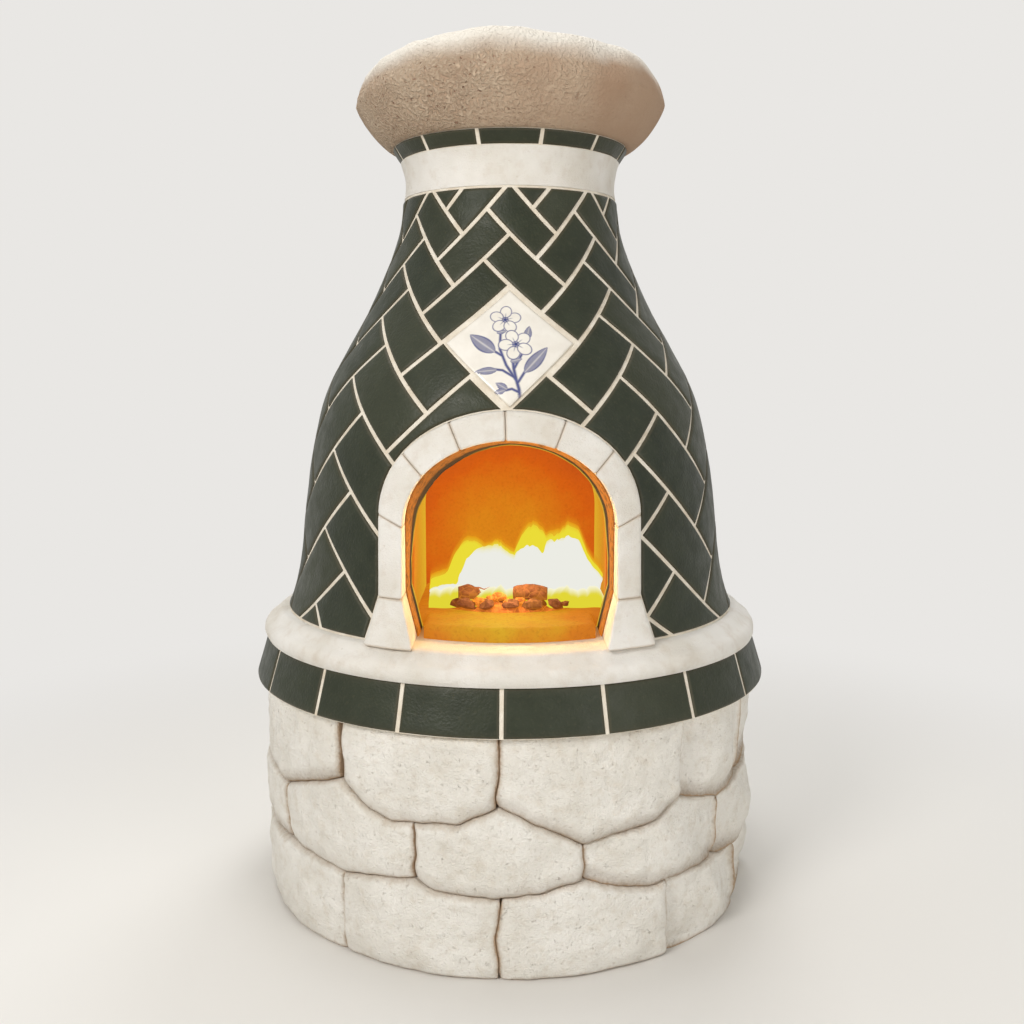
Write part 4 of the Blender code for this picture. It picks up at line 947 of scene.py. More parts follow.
def arch_line(which, offset=0.0, pitch=6):
    """The inner (0) or outer (1) outline of the arch from the left foot to the right, moved out."""
    shape = (ARCH_INNER, ARCH_OUTER)[which]
    toe = (-FOOT_HEEL, FOOT_TOE)[which]
    side = [Vector((-(shape[0] + toe * (1 - i / 4)), FOOT_HEIGHT * i / 4)) for i in range(4)]
    side += [Vector((-shape[0], FOOT_HEIGHT + (shape[1] - FOOT_HEIGHT) * i / 5)) for i in range(5)]
    over = [arch_point(shape, 180 - pitch * i) for i in range(180 // pitch + 1)]
    line = side + over + [Vector((-point.x, point.y)) for point in reversed(side)]
    moved = []
    for i, point in enumerate(line):
        along = line[min(i + 1, len(line) - 1)] - line[max(i - 1, 0)]
        moved.append(point + Vector((-along.y, along.x)).normalized() * offset)
    return moved


def mouth_on_bell(offset):
    """The arch's outer outline on the unrolled bell, closed under its foot."""
    outline = []
    for point in arch_line(1, offset):
        level = max(point.y, 0.0)
        rise = rise_of(level)
        outline.append((math.degrees(math.asin(point.x / radius_at(rise))), rise))
    return [(outline[0][0], -9.0), *outline, (outline[-1][0], -9.0)][::-1]


def diamond(half_width, half_rows):
    """The corners of a diamond about the middle of the picture tile, as (degrees, row)."""
    return [(-half_width, PICTURE_ROW), (0, PICTURE_ROW + half_rows),
            (half_width, PICTURE_ROW), (0, PICTURE_ROW - half_rows)]


def picture_border(offset):
    """The opening for the picture tile, grown by an offset in metres."""
    corners = drawn_in(diamond(180 / COLUMNS, 1.0), JOINT_WIDTH / 2 - offset)
    return unrolled(corners, 0.012)


def overlaps(outline, other):
    """Whether the boxes round two outlines overlap."""
    a, b = np.array(outline), np.array(other)
    return bool((a.min(0) < b.max(0)).all() and (b.min(0) < a.max(0)).all())


def bell_tile(corners, cutters):
    """One tile of the bell, cut where the mouth and the picture cut it: points, faces, distances."""
    rings = [unrolled(drawn_in(corners, JOINT_WIDTH / 2 + inset), TILE_PITCH) for inset in TILE_INSETS]
    whole = rings[0]
    middle = np.mean(whole, axis=0)
    scale = math.radians(radius_at(middle[1]))
    edge = 0.004 / scale
    low, high = FOOT_RISE + edge, NECK_RISE - edge
    if max(rise for _, rise in whole) < low + edge or min(rise for _, rise in whole) > high - edge:
        return None
    spots = []
    lowest, highest = np.min(whole, axis=0), np.max(whole, axis=0)
    pitch = TILE_PITCH / scale
    for i, rise in enumerate(np.arange(lowest[1], highest[1], pitch * 0.87)):
        for degrees in np.arange(lowest[0] + (i % 2) * pitch / 2, highest[0], pitch):
            spots.append((degrees, rise))
    spots = np.array(spots)
    crossing = [outlines for outlines in cutters if overlaps(whole, outlines[0])]
    kept = inside_of(spots, rings[-1]) & (nearest(spots, rings[-1]) > pitch * 0.4)
    for outlines in crossing:
        for outline in outlines:
            kept &= nearest(spots, outline) > pitch * 0.3
    flat, faces, edges = [], [], []
    for ring in rings:
        faces.append(list(range(len(flat), len(flat) + len(ring))))
        flat += ring
    count_rings = len(faces)
    wide = np.linspace(lowest[0] - 1, highest[0] + 1, max(3, round((highest[0] - lowest[0] + 2) / pitch)))
    faces.append(list(range(len(flat), len(flat) + 2 * len(wide))))
    flat += [(across, low) for across in wide] + [(across, high) for across in wide[::-1]]
    holes = []
    for outlines in crossing:
        holes.append(len(faces))
        for outline in outlines:
            faces.append(list(range(len(flat), len(flat) + len(outline))))
            flat += outline
    for inset in TILE_INSETS[1:]:
        for level in (low + inset / scale, high - inset / scale):
            if lowest[1] < level < highest[1]:
                edges += [(len(flat) + n, len(flat) + n + 1) for n in range(len(wide) - 1)]
                flat += [(across, level) for across in wide]
    flat += [tuple(spot) for spot in spots[kept]]
    found, _, triangles, _, _, origins = delaunay_2d_cdt([Vector(point) for point in flat], edges, faces,
                                                         1, 1e-4)
    chosen = []
    for triangle, origin in zip(triangles, origins):
        inside = set(origin)
        if 0 in inside and count_rings in inside and not inside & set(holes):
            chosen.append(tuple(triangle))
    if not chosen:
        return None
    used = sorted({i for triangle in chosen for i in triangle})
    order = {old: new for new, old in enumerate(used)}
    places = np.array([tuple(found[i]) for i in used])
    distance = nearest(places, whole) * scale
    distance = np.minimum(distance, np.abs(places[:, 1] - low) * scale)
    distance = np.minimum(distance, np.abs(places[:, 1] - high) * scale)
    for outlines in crossing:
        distance = np.minimum(distance, nearest(places, outlines[0]) * scale)
    return places, [tuple(order[i] for i in triangle) for triangle in chosen], distance


def inside_of(points, outline):
    """Which points lie inside an outline."""
    result = np.zeros(len(points), dtype=bool)
    ring = np.array(outline)
    for (ax, ay), (bx, by) in zip(ring, np.roll(ring, -1, axis=0)):
        crosses = (ay > points[:, 1]) != (by > points[:, 1])
        with np.errstate(divide="ignore", invalid="ignore"):
            x = ax + (points[:, 1] - ay) * (bx - ax) / (by - ay)
        result ^= crosses & (points[:, 0] < x)
    return result


def shape_of(bm):
    """A bmesh's points and faces."""
    bm.verts.index_update()
    points = [tuple(vert.co) for vert in bm.verts]
    return points, [tuple(vert.index for vert in face.verts) for face in bm.faces]


def close_under(points, triangles, depth_of):
    """Gives a sheet sides and a back: each rim point goes back to depth_of(point)."""
    bm = bmesh.new()
    verts = [bm.verts.new(point) for point in points]
    for triangle in triangles:
        bm.faces.new([verts[i] for i in triangle])
    rim = [edge for edge in bm.edges if edge.is_boundary]
    grown = bmesh.ops.extrude_edge_only(bm, edges=rim)["geom"]
    for item in grown:
        if isinstance(item, bmesh.types.BMVert):
            item.co = depth_of(item.co)
    bmesh.ops.holes_fill(bm, edges=[item for item in grown if isinstance(item, bmesh.types.BMEdge)], sides=0)
    shape = shape_of(bm)
    bm.free()
    return shape


def clad_bell():
    """The herringbone: each tile a separate glazed piece of clay, set by hand in its grout."""
    # The mouth and the picture's opening, each with outlines that its border's rounding needs
    cutters = [[mouth_on_bell(offset) for offset in (0.0025, 0.0033, 0.0053, 0.0080)],
               [picture_border(offset) for offset in (0.0, 0.0008, 0.0028, 0.0055)]]
    parts, arris, tones = [], [], []
    for corners in herringbone():
        made = bell_tile(corners, cutters)
        tone, shift = DRAWS.random(), DRAWS.uniform(-0.0006, 0.0004)
        if made is None:
            continue
        places, triangles, distance = made
        if distance.max() < 0.003:
            continue
        points = []
        for (degrees, rise), rounding, inside in zip(places, rounded_rise(distance), distance):
            at = round_front(radius_at(rise), degrees, SHELF_TOP + level_at(rise))
            hand = (shift + 0.0009 * lumps(at, 0.07) + 0.0004 * lumps(at, 0.025)) * min(1.0, inside / 0.01)
            points.append(round_front(radius_at(rise) - TILE_SUNK + rounding + hand, degrees, at[2]))
        solid, faces = close_under(points, triangles, towards_axis(0.006))
        parts.append((solid, faces))
        edge = [max(0.0, 1 - inside / 0.006) for inside in distance]
        arris += edge + [1.0] * (len(solid) - len(edge))
        tones += [tone] * len(solid)
    points, faces = join(parts)
    piece("bell_tiles", points, faces, GREEN, "green_glaze", "bell_tile_cladding",
          marks={"arris": arris, "tone": tones}, sharp=60)

    levels = np.linspace(0, BELL_HEIGHT, 70)
    outer = [(float(radius), SHELF_TOP + max(float(level), GAP)) for level, radius in
             zip(levels, bell_radii(levels))]
    inner = [(radius - CLADDING_BED, height) for radius, height in reversed(outer)]
    points, faces = turn_profile(outer + inner, 216)
    grout = piece("bell_joints", points, faces, GROUT, "mortar", sharp=50)
    hole = [(point.x, SHELF_TOP + point.y) for point in arch_line(1, GAP)]
    hole = [(hole[0][0], SHELF_TOP - 0.02), *hole, (hole[-1][0], SHELF_TOP - 0.02)]
    cut(grout, *prism(hole, -0.5, 0.0))


# Picture tile

def petal(points, centre, towards, length, width):
    """Signed closeness inside a pointed leaf: 1 at its spine, 0 at its edge, below 0 outside."""
    angle = math.radians(towards)
    away = points - np.array(centre)
    along = away[:, 0] * math.cos(angle) + away[:, 1] * math.sin(angle)
    side = -away[:, 0] * math.sin(angle) + away[:, 1] * math.cos(angle)
    share = np.clip(along / length, 0, 1)
    half = width / 2 * np.sin(np.pi * share ** 0.8) ** 0.8
    return np.where((along > 0) & (along < length), 1 - np.abs(side) / np.maximum(half, 1e-6), -1.0)


def brushed(value, soft):
    """How fully paint lies at a closeness: its edge is soft."""
    return np.clip(value / soft, 0, 1)


def painted_leaf(ink, points, centre, towards, length, width):
    """Lays one leaf over the painting: a full wash with a paler vein and a dark brushed edge."""
    inside = petal(points, centre, towards, length, width)
    body = brushed(inside, 0.12)
    edge = body * (1 - brushed(inside - 0.10, 0.22))
    vein = body * np.exp(-((1 - inside) / 0.12) ** 2)
    shade = 0.72 + 0.28 * edge - 0.38 * vein
    return ink * (1 - body) + shade * body


def painted_flower(ink, points, centre, size, first, petals=5):
    """Lays one open flower over the painting: round white petals, outlined, and a dark eye."""
    for i in range(petals):
        angle = math.radians(first + 360 / petals * i)
        heart = np.array(centre) + 0.60 * size * np.array((math.cos(angle), math.sin(angle)))
        away = points - heart
        along = away[:, 0] * math.cos(angle) + away[:, 1] * math.sin(angle)
        side = -away[:, 0] * math.sin(angle) + away[:, 1] * math.cos(angle)
        reach = np.hypot(along / (0.46 * size), side / (0.40 * size))
        body = brushed(1.06 - reach, 0.08)
        line = np.exp(-((reach - 0.95) / 0.085) ** 2)
        streak = np.exp(-(side / 0.16) ** 2) * brushed(-along - 0.05 * size, 0.2 * size)
        ink = ink * (1 - body) + body * np.clip(line + 0.7 * streak, 0, 1)
    away = np.linalg.norm(points - np.array(centre), axis=1)
    return np.maximum(ink, np.exp(-(away / (0.17 * size)) ** 4))


def painted_stroke(ink, points, way, width, strength):
    """A brushed line through points, thinner at its end."""
    away = nearest(points, way, closed=False)
    return np.maximum(ink, strength * np.exp(-(away / width) ** 4))


def sprig(points):
    """A plain traditional flower sprig: two open flowers, a bud, leaves and a stem."""
    ink = np.zeros(len(points))
    for way, width in (
        ([(2.8, -18.1), (2.5, -15.0), (1.9, -12.6), (1.2, -9.0), (1.0, -6.6)], 0.50),
        ([(1.9, -12.6), (-1.0, -7.6), (-3.0, -2.0), (-2.9, 4.6)], 0.46),
        ([(1.2, -9.0), (3.6, -4.0), (5.6, 1.6)], 0.40),
        ([(2.1, -13.4), (4.4, -9.6)], 0.42),
        ([(2.5, -16.0), (0.6, -15.0), (-1.0, -15.4)], 0.40),
        ([(1.4, -11.6), (-2.0, -9.3), (-4.2, -9.0)], 0.42),
        ([(-2.3, -4.4), (-5.0, -2.6)], 0.44),
    ):
        ink = painted_stroke(ink, points, way, width, 0.95)
    for centre, towards, length, width in (
        ((-4.4, -3.2), 143.0, 10.6, 5.2),
        ((-3.6, -9.2), 186.0, 6.4, 2.6),
        ((4.2, -10.0), 49.0, 11.4, 4.2),
        ((-0.6, -15.2), 148.0, 3.8, 2.2),
        ((-1.2, -15.4), 196.0, 3.2, 1.8),
        ((-4.2, 3.8), 14.0, 3.4, 2.0),
        ((0.2, -6.4), 14.0, 3.6, 2.2),
        ((5.2, 1.0), 76.0, 5.6, 2.8),
    ):
        ink = painted_leaf(ink, points, centre, towards, length, width)
    ink = painted_flower(ink, points, (-1.5, 8.9), 5.2, 14)
    ink = painted_flower(ink, points, (1.9, -0.4), 5.2, 40)
    return np.clip(ink, 0, 1)


def fire_picture():
    """The white picture tile: a slightly domed diamond, its sprig painted on the glaze."""
    count = 150
    corners = diamond(PICTURE_HALF_WIDTH, PICTURE_HALF_ROWS)
    left, top, right, bottom = [(degrees, row_rise(row)) for degrees, row in corners]
    ends = [0.0, 0.0008, 0.0025, 0.005]
    side = math.hypot(top[0] - left[0], top[1] - left[1]) * math.radians(radius_at(row_rise(PICTURE_ROW)))
    shares = [end / side for end in ends]
    shares += list(np.linspace(0.0075 / side, 1 - 0.0075 / side, count))
    shares += [1 - end / side for end in reversed(ends)]
    places, front = [], []
    for b in shares:
        row = []
        for a in shares:
            low = (left[0] + (bottom[0] - left[0]) * a, left[1] + (bottom[1] - left[1]) * a)
            high = (top[0] + (right[0] - top[0]) * a, top[1] + (right[1] - top[1]) * a)
            spot = (low[0] + (high[0] - low[0]) * b, low[1] + (high[1] - low[1]) * b)
            places.append(spot)
            edge = min(a, 1 - a, b, 1 - b) * side
            radius = radius_at(spot[1]) + GAP + 0.001
            radius += float(rounded_rise(edge, PICTURE_RISE - 0.0013, 0.005))
            row.append(round_front(radius, spot[0], SHELF_TOP + level_at(spot[1])))
        front.append(row)
    places = np.array(places)
    middle = row_rise(PICTURE_ROW)
    ink = sprig(places - np.array((0.0, middle)))
    edge = np.minimum.reduce([nearest(places, [one, two], closed=False)
                              for one, two in ((left, top), (top, right), (right, bottom), (bottom, left))])
    arris = np.clip(1 - edge * math.radians(radius_at(middle)) / 0.004, 0, 1)
    points, faces = block(front, towards_axis(PICTURE_RISE))
    extra = len(points) - len(ink)
    piece("picture_tile", points, faces, PAINTED, "white_glaze", "picture_tile",
          marks={"ink": list(ink) + [0.0] * extra, "arris": list(arris) + [1.0] * extra}, sharp=60)


# Arch

def arch_pairs(low, high, count):
    """Inner and outer points between two angles of the arch."""
    return [[arch_point(shape, low + (high - low) * i / count) for shape in (ARCH_INNER, ARCH_OUTER)]
            for i in range(count + 1)]


def side_pairs(sign, low, high, count):
    """Inner and outer points up one side of the mouth, each from a low to a high level."""
    pairs = []
    for i in range(count + 1):
        share = i / count
        pair = []
        for which, shape, toe in ((0, ARCH_INNER, -FOOT_HEEL), (1, ARCH_OUTER, FOOT_TOE)):
            level = low[which] + (high[which] - low[which]) * share
            spread = toe * max(0.0, 1 - level / FOOT_HEIGHT)
            pair.append(Vector((sign * (shape[0] + spread), level)))
        pairs.append(pair)
    return pairs


def worn_stone(name, pairs):
    """One stone of the arch: its face follows the bell, its arrises are rounded and chipped."""
    inner_line = np.array([tuple(pair[0]) for pair in pairs])
    outer_line = np.array([tuple(pair[1]) for pair in pairs])
    middle = (inner_line + outer_line) / 2
    lengths = np.concatenate([[0], np.cumsum(np.linalg.norm(np.diff(middle, axis=0), axis=1))])
    total = lengths[-1]
    joint = ARCH_JOINT / 2
    width = float(np.linalg.norm(outer_line[0] - inner_line[0]))
    across = fine_steps(width, 0.006, ARCH_ROUND)
    along = fine_steps(total - 2 * joint, 0.006, ARCH_ROUND)
    depths = (0.125, 0.09, 0.06, 0.036, 0.018, 0.012, 0.008)
    rows = []
    for share in along:
        s = joint + share * (total - 2 * joint)
        inner, outer = (Vector([np.interp(s, lengths, line[:, k]) for k in (0, 1)])
                        for line in (inner_line, outer_line))
        rows.append((inner, outer, min(s - joint, total - joint - s)))
    columns = len(across) + 2 * len(depths)
    points, arris = [], []
    for inner, outer, from_end in rows:
        drop = 0.0020 * border(from_end, 0.0040)
        section = [(0.0, depth) for depth in depths]
        section += [(part, None) for part in across]
        section += [(1.0, depth) for depth in reversed(depths)]
        for part, depth in section:
            from_side = min(part, 1 - part) * width
            if depth is None:
                rounding = max(0.0, ARCH_ROUND - from_side)
                depth = (ARCH_ROUND - math.sqrt(max(0.0, ARCH_ROUND ** 2 - rounding ** 2))) * 0.9
            squeeze = part * width
            squeeze = drop + squeeze * (width - 2 * drop) / width if depth < 0.04 else squeeze
            at = inner.lerp(outer, squeeze / width)
            level = max(at.y, GAP)
            face = float(bell_radii(np.array([level]))[0]) + ARCH_PROUD
            front_y = -math.sqrt(face ** 2 - at.x ** 2)
            spot = Vector((at.x, front_y, level))
            rough = 0.0012 * lumps(spot, 0.035) + 0.0005 * lumps(spot, 0.010, 2) + 0.0022 * lumps(spot, 0.09)
            chip = max(0.0, lumps(spot, 0.022, 2) - 0.4) * 0.008 * (1 if from_side < 0.010 else 0.15)
            y = front_y + depth + drop + (0.0008 - rough + chip) * (1.0 if depth < 0.03 else 0.0)
            if depth > 0.12:
                y = -ARCH_BACK
            points.append((at.x, min(y, -ARCH_BACK), SHELF_TOP + level))
            ragged = 0.25 * lumps(spot, 0.012, 2)
            arris.append(held(1.0 - from_end / 0.0035 + ragged, high=0.8))
    faces = tube_faces(len(rows), columns)
    piece(name, points, faces, PLASTER, "lime_plaster", name, marks={"arris": arris}, sharp=65)


def set_arch():
    """The arch round the mouth: a foot and a jamb on each side, and the voussoirs between them."""
    springs = (ARCH_INNER[1], ARCH_OUTER[1])
    for side, sign in (("left", -1), ("right", 1)):
        worn_stone(f"arch_foot_{side}", side_pairs(sign, (0, 0), (FOOT_HEIGHT, FOOT_HEIGHT), 6))
        worn_stone(f"arch_jamb_{side}", side_pairs(sign, (FOOT_HEIGHT, FOOT_HEIGHT), springs, 8))
    for number, (low, high) in enumerate(zip(ARCH_JOINTS, ARCH_JOINTS[1:])):
        worn_stone(f"arch_voussoir_{number + 1}", arch_pairs(low, high, 10))


# Firebox

def vault_line(shape, grown, foot):
    """A vault's outline over straight legs, from the left foot to the right, as (x, z)."""
    half, spring, crown = shape[0] + grown, shape[1], shape[2] + grown
    line = [(-half, foot + (SHELF_TOP + spring - foot) * i / 8) for i in range(8)]
    for i in range(41):
        point = arch_point((half, spring, crown), 180 - 4.5 * i)
        line.append((point.x, SHELF_TOP + point.y))
    return line + [(-x, z) for x, z in reversed(line[:8])]


def firelight_at(point):
    """How strongly the fire lights the lining: most behind and over the flames."""
    away = math.dist((point[0] * 0.9, 0.0, point[2]), (-0.01, 0.0, FLOOR_TOP + 0.10))
    return held(1.25 - away / 0.21, 0.12)


def line_firebox():
    """The firebox lining: a vault of firebrick with the smoke hole in its roof."""
    inner, outer = (vault_line(LINING_INNER, grown, ON_SHELF) for grown in (0.0, LINING_THICKNESS))
    front, back = -(ARCH_BACK - GAP), FIREBOX_BACK
    depths = [front, front + RIM_WIDTH / 2, front + RIM_WIDTH, front + 1.4 * RIM_WIDTH]
    depths += [depths[-1] + (back - depths[-1]) * i / 20 for i in range(1, 21)]
    points, rim = [], []
    for i, y in enumerate(depths):
        for x, z in inner:
            spot = (x, y, z)
            rough = 0.0022 * lumps(spot, 0.06, 2) * (0 if i in (0, len(depths) - 1) else 1)
            share = 1 - max(0.0, rough) / 0.175
            points.append((x * share, y, SHELF_TOP + (z - SHELF_TOP) * share))
            deep = i / (len(depths) - 1)
            on_leg = z < SHELF_TOP + LINING_INNER[1] + 0.06
            # Painted firelight: yellow over the vault, and on the legs more the deeper they go
            rim.append((0.25 + 0.65 * deep if on_leg else 0.9) if i > 2 or not on_leg else 0.1)
    count = len(inner)
    faces = grid_faces(len(depths), count)
    start_outer = len(points)
    points += [(x, y, z) for y in (front, back) for x, z in outer]
    rim += [0.0] * (2 * count)
    last = (len(depths) - 1) * count
    far_outer = start_outer + count
    for j in range(count - 1):
        faces.append((j + 1, j, start_outer + j, start_outer + j + 1))
        faces.append((start_outer + j, far_outer + j, far_outer + j + 1, start_outer + j + 1))
        faces.append((last + j, last + j + 1, far_outer + j + 1, far_outer + j))
    for j, flip in ((0, False), (count - 1, True)):
        foot = [i * count + j for i in range(len(depths))] + [far_outer + j, start_outer + j]
        faces.append(tuple(foot[::-1] if flip else foot))
    # Its glow is painted firelight, strongest behind and over the flames
    made = piece("firebox_lining", points, faces, HEARTH, "firebrick", "firebox_lining",
                 marks={"hotness_and_firelight": [firelight_at(point) for point in points], "arris": rim}, sharp=60)
    half, low, high = SMOKE_HOLE
    hole = [(-half, SHELF_TOP + low), (-half, SHELF_TOP + high), (half, SHELF_TOP + high),
            (half, SHELF_TOP + low)]
    cut(made, *prism(hole, FIREBOX_BACK - 0.085, FIREBOX_BACK - 0.010))


def wall_firebox():
    """The back wall of the firebox: a plate of firebrick with a slightly bulging face."""
    line = vault_line(LINING_INNER, LINING_THICKNESS, ON_SHELF)
    rows = []
    for i in range(29):
        share = i / 28
        row = []
        for j in range(41):
            part = j / 40
            at = part * (len(line) - 1)
            n = min(int(at), len(line) - 2)
            x = line[n][0] + (line[n + 1][0] - line[n][0]) * (at - n)
            z = line[n][1] + (line[n + 1][1] - line[n][1]) * (at - n)
            base_x = -line[0][0] * (2 * part - 1)
            x, z = base_x + (x - base_x) * share, ON_SHELF + (z - ON_SHELF) * share
            bulge = 0.0018 * lumps((x, 0, z), 0.05, 2) if 0 < share < 1 and 0 < part < 1 else 0.0
            row.append((x, FIREBOX_BACK + GAP + abs(bulge), z))
        rows.append(row)
    points, faces = block(rows, lambda point: (point[0], FIREBOX_BACK + LINING_THICKNESS, point[2]))
    # Its glow is painted firelight
    piece("firebox_back_wall", points, faces, HEARTH, "firebrick",
          marks={"hotness_and_firelight": [firelight_at(point) for point in points]}, sharp=60)


def floor_outline():
    """The hearth floor in plan, its lip bowed out over the shelf."""
    mouth = ARCH_INNER[0] - FOOT_HEEL - 0.013
    side = LINING_INNER[0] - GAP
    front = -(ARCH_BACK - GAP)
    lip = []
    for i in range(41):
        across = -1 + i / 20
        wobble = 0.0016 * lumps((across * 0.2, 0, 0), 0.03)
        lip.append((mouth * across, -FLOOR_SIDE_FRONT - FLOOR_LIP * (1 - across ** 2) + abs(wobble)))
    return [(-mouth, front), *lip, (mouth, front), (side, front), (side, FIREBOX_BACK - GAP),
            (-side, FIREBOX_BACK - GAP), (-side, front)]


def lay_hearth_floor():
    """The hearth floor: worn firebrick under drifts of ash."""
    outline = floor_outline()
    spots = []
    for i in range(46):
        for j in range(52):
            spots.append((-0.18 + 0.0080 * i + (j % 2) * 0.004, -0.40 + 0.0085 * j))
    spots = np.array(spots)
    edge = 0.006
    kept = spots[inside_of(spots, outline) & (nearest(spots, outline) > edge + 0.002)]
    middle = np.array((0.0, -0.18))
    inner = []
    for point in np.array(outline):
        inwards = middle - point
        inner.append(point + inwards / np.linalg.norm(inwards) * edge)
    flat = [Vector(point) for point in (*outline, *inner, *kept)]
    count = len(outline)
    rings = [list(range(count)), list(range(count, 2 * count))]
    found, _, triangles, _, _, origins = delaunay_2d_cdt(flat, [], rings, 1, 1e-6)
    chosen = [tuple(triangle) for triangle, origin in zip(triangles, origins) if 0 in origin]
    away = nearest(np.array([tuple(point) for point in found]), outline)
    points = []
    for point, distance in zip(found, away):
        rolled = 0.006 * (1 - min(1.0, distance / edge)) ** 2
        ash = 0.0012 * lumps((point.x, point.y, 0), 0.03, 2)
        points.append((point.x, point.y, FLOOR_TOP - rolled - abs(ash) * min(1.0, distance / edge)))
    points, faces = close_under(points, chosen, lambda point: (point.x, point.y, ON_SHELF))
    # Its yellow and orange glow is painted firelight
    piece("firebox_floor", points, faces, HEARTH_FLOOR, "firebrick", "firebox_floor",
          marks={"hotness_and_firelight": [firelight_at(point) for point in points]}, sharp=60)


def blacken_throat():
    """The throat ring: fire-lit at its front, sooty behind, and thickened and darkened at its upper left as
    painted shade.
    """
    outer = arch_line(0, -0.0006, 3)
    back = -(ARCH_BACK + GAP)
    depths = (0.080, 0.079, 0.074, 0.058, 0.042, 0.036, 0.024, 0.012, 0.008, 0.0)
    sunk = (0.0008, 0.0014, 0.0022, 0.0032, 0.0032, 0.0032, 0.0032, 0.0032, 0.0036, 0.0036)
    grown = (0.0, 0.0, 0.15, 0.45, 0.65, 0.72, 0.86, 1.0, 1.2, 1.2)
    lit = (0.7, 0.85, 1.0, 1.0, 0.9, 0.05, 0.0, 0.0, 0.0, 0.0)
    points, hot, rim = [], [], []
    for i, point in enumerate(outer):
        along = (outer[min(i + 1, len(outer) - 1)] - outer[max(i - 1, 0)]).normalized()
        inward = Vector((along.y, -along.x))
        # Painted shade at the upper left: the ring grows thicker there and less lit
        drift = held(-point.x / 0.10) * held((point.y - 0.17) / 0.10)
        over = held((point.y - 0.13) / 0.12)
        height = SHELF_TOP + max(point.y, GAP)
        points += [(point.x, back, height), (point.x, back - depths[0], height)]
        hot += [0.0, 0.5]
        rim += [0.0, 0.0]
        for n, depth in enumerate(depths):
            soot_and_shade = 0.0012 * abs(lumps((point.x, depth, point.y), 0.02, 2)) * min(1.0, n / 2)
            soot_and_shade += 0.006 * drift * held((0.05 - depth) / 0.02) + 0.010 * over * grown[n]
            at = point + inward * (sunk[n] + soot_and_shade)
            points.append((at.x, back - depth, SHELF_TOP + max(at.y, GAP)))
            hot.append(lit[n] * (1 - 0.35 * drift))
            rim.append(0.85 * (1 - drift) if depth < 0.010 else 0.0)
    faces = tube_faces(len(outer), 2 + len(depths))
    piece("firebox_throat_ring", points, faces, SOOT, "cast_iron", "firebox_throat_ring",
          marks={"hotness_and_firelight": hot, "arris": rim}, sharp=60)


# Fire bed

def laid_at(bm, x, y, z):
    """A bmesh's points, moved to a place, and its faces; the bmesh is freed."""
    points, faces = shape_of(bm)
    bm.free()
    return [(point[0] + x, point[1] + y, point[2] + z) for point in points], faces


def spread_embers():
    """The ember bed: a low heap, hottest in the middle."""
    points, heat_and_light = [], []
    rows, steps = 14, 72
    for i in range(rows):
        share = i / (rows - 1)
        for j in range(steps):
            angle = math.tau * j / steps
            x, y = EMBER_WIDTH / 2 * share * math.cos(angle), EMBER_DEPTH / 2 * share * math.sin(angle)
            rise = EMBER_HEIGHT * min(1.0, (1 - share ** 2) * EMBER_FULLNESS)
            rough = 0.004 * abs(lumps((x, y, 0), 0.012, 2)) if 0 < share < 1 else 0.0
            points.append((x, y - EMBER_SETBACK, FLOOR_TOP + GAP + max(rise - rough, 0.0)))
            heat_and_light.append(1.0 - 0.6 * share)
    faces = grid_faces(rows, steps, closed=True)
    faces.append(tuple(range((rows - 1) * steps, rows * steps))[::-1])
    piece("ember_bed", points, faces, EMBERS, "embers", "ember_bed", marks={"hotness_and_firelight": heat_and_light}, sharp=60)


def strew_coals():
    """Glowing coals, half sunk in the ember bed."""
    parts, glow = [], []
    for _ in range(COALS):
        angle, reach = DRAWS.uniform(0, math.tau), math.sqrt(DRAWS.random()) * 0.93
        x, y = EMBER_WIDTH / 2 * reach * math.cos(angle), EMBER_DEPTH / 2 * reach * math.sin(angle)
        size = DRAWS.uniform(0.006, 0.011)
        heaped = max(0.0, 1 - (x / (EMBER_WIDTH / 2)) ** 2 - (y / (EMBER_DEPTH / 2)) ** 2)
        floor = FLOOR_TOP + GAP + EMBER_HEIGHT * min(1.0, heaped * EMBER_FULLNESS)
        bm = bmesh.new()
        bmesh.ops.create_icosphere(bm, subdivisions=3, radius=size)
        seed = DRAWS.uniform(0, 9)
        for vert in bm.verts:
            stretch = 1 + 0.45 * lumps(vert.co + Vector((seed, 0, 0)), size * 1.1, 2)
            vert.co = (vert.co.x * stretch * 1.25, vert.co.y * stretch, vert.co.z * stretch * 0.8)
        lift = floor + size * 0.45
        parts.append(laid_at(bm, x, y - EMBER_SETBACK, lift))
        glow += [DRAWS.uniform(0.3, 1.0)] * len(parts[-1][0])
    points, faces = join(parts)
    piece("ember_coals", points, faces, EMBERS, "embers", marks={"hotness_and_firelight": glow}, sharp=60)


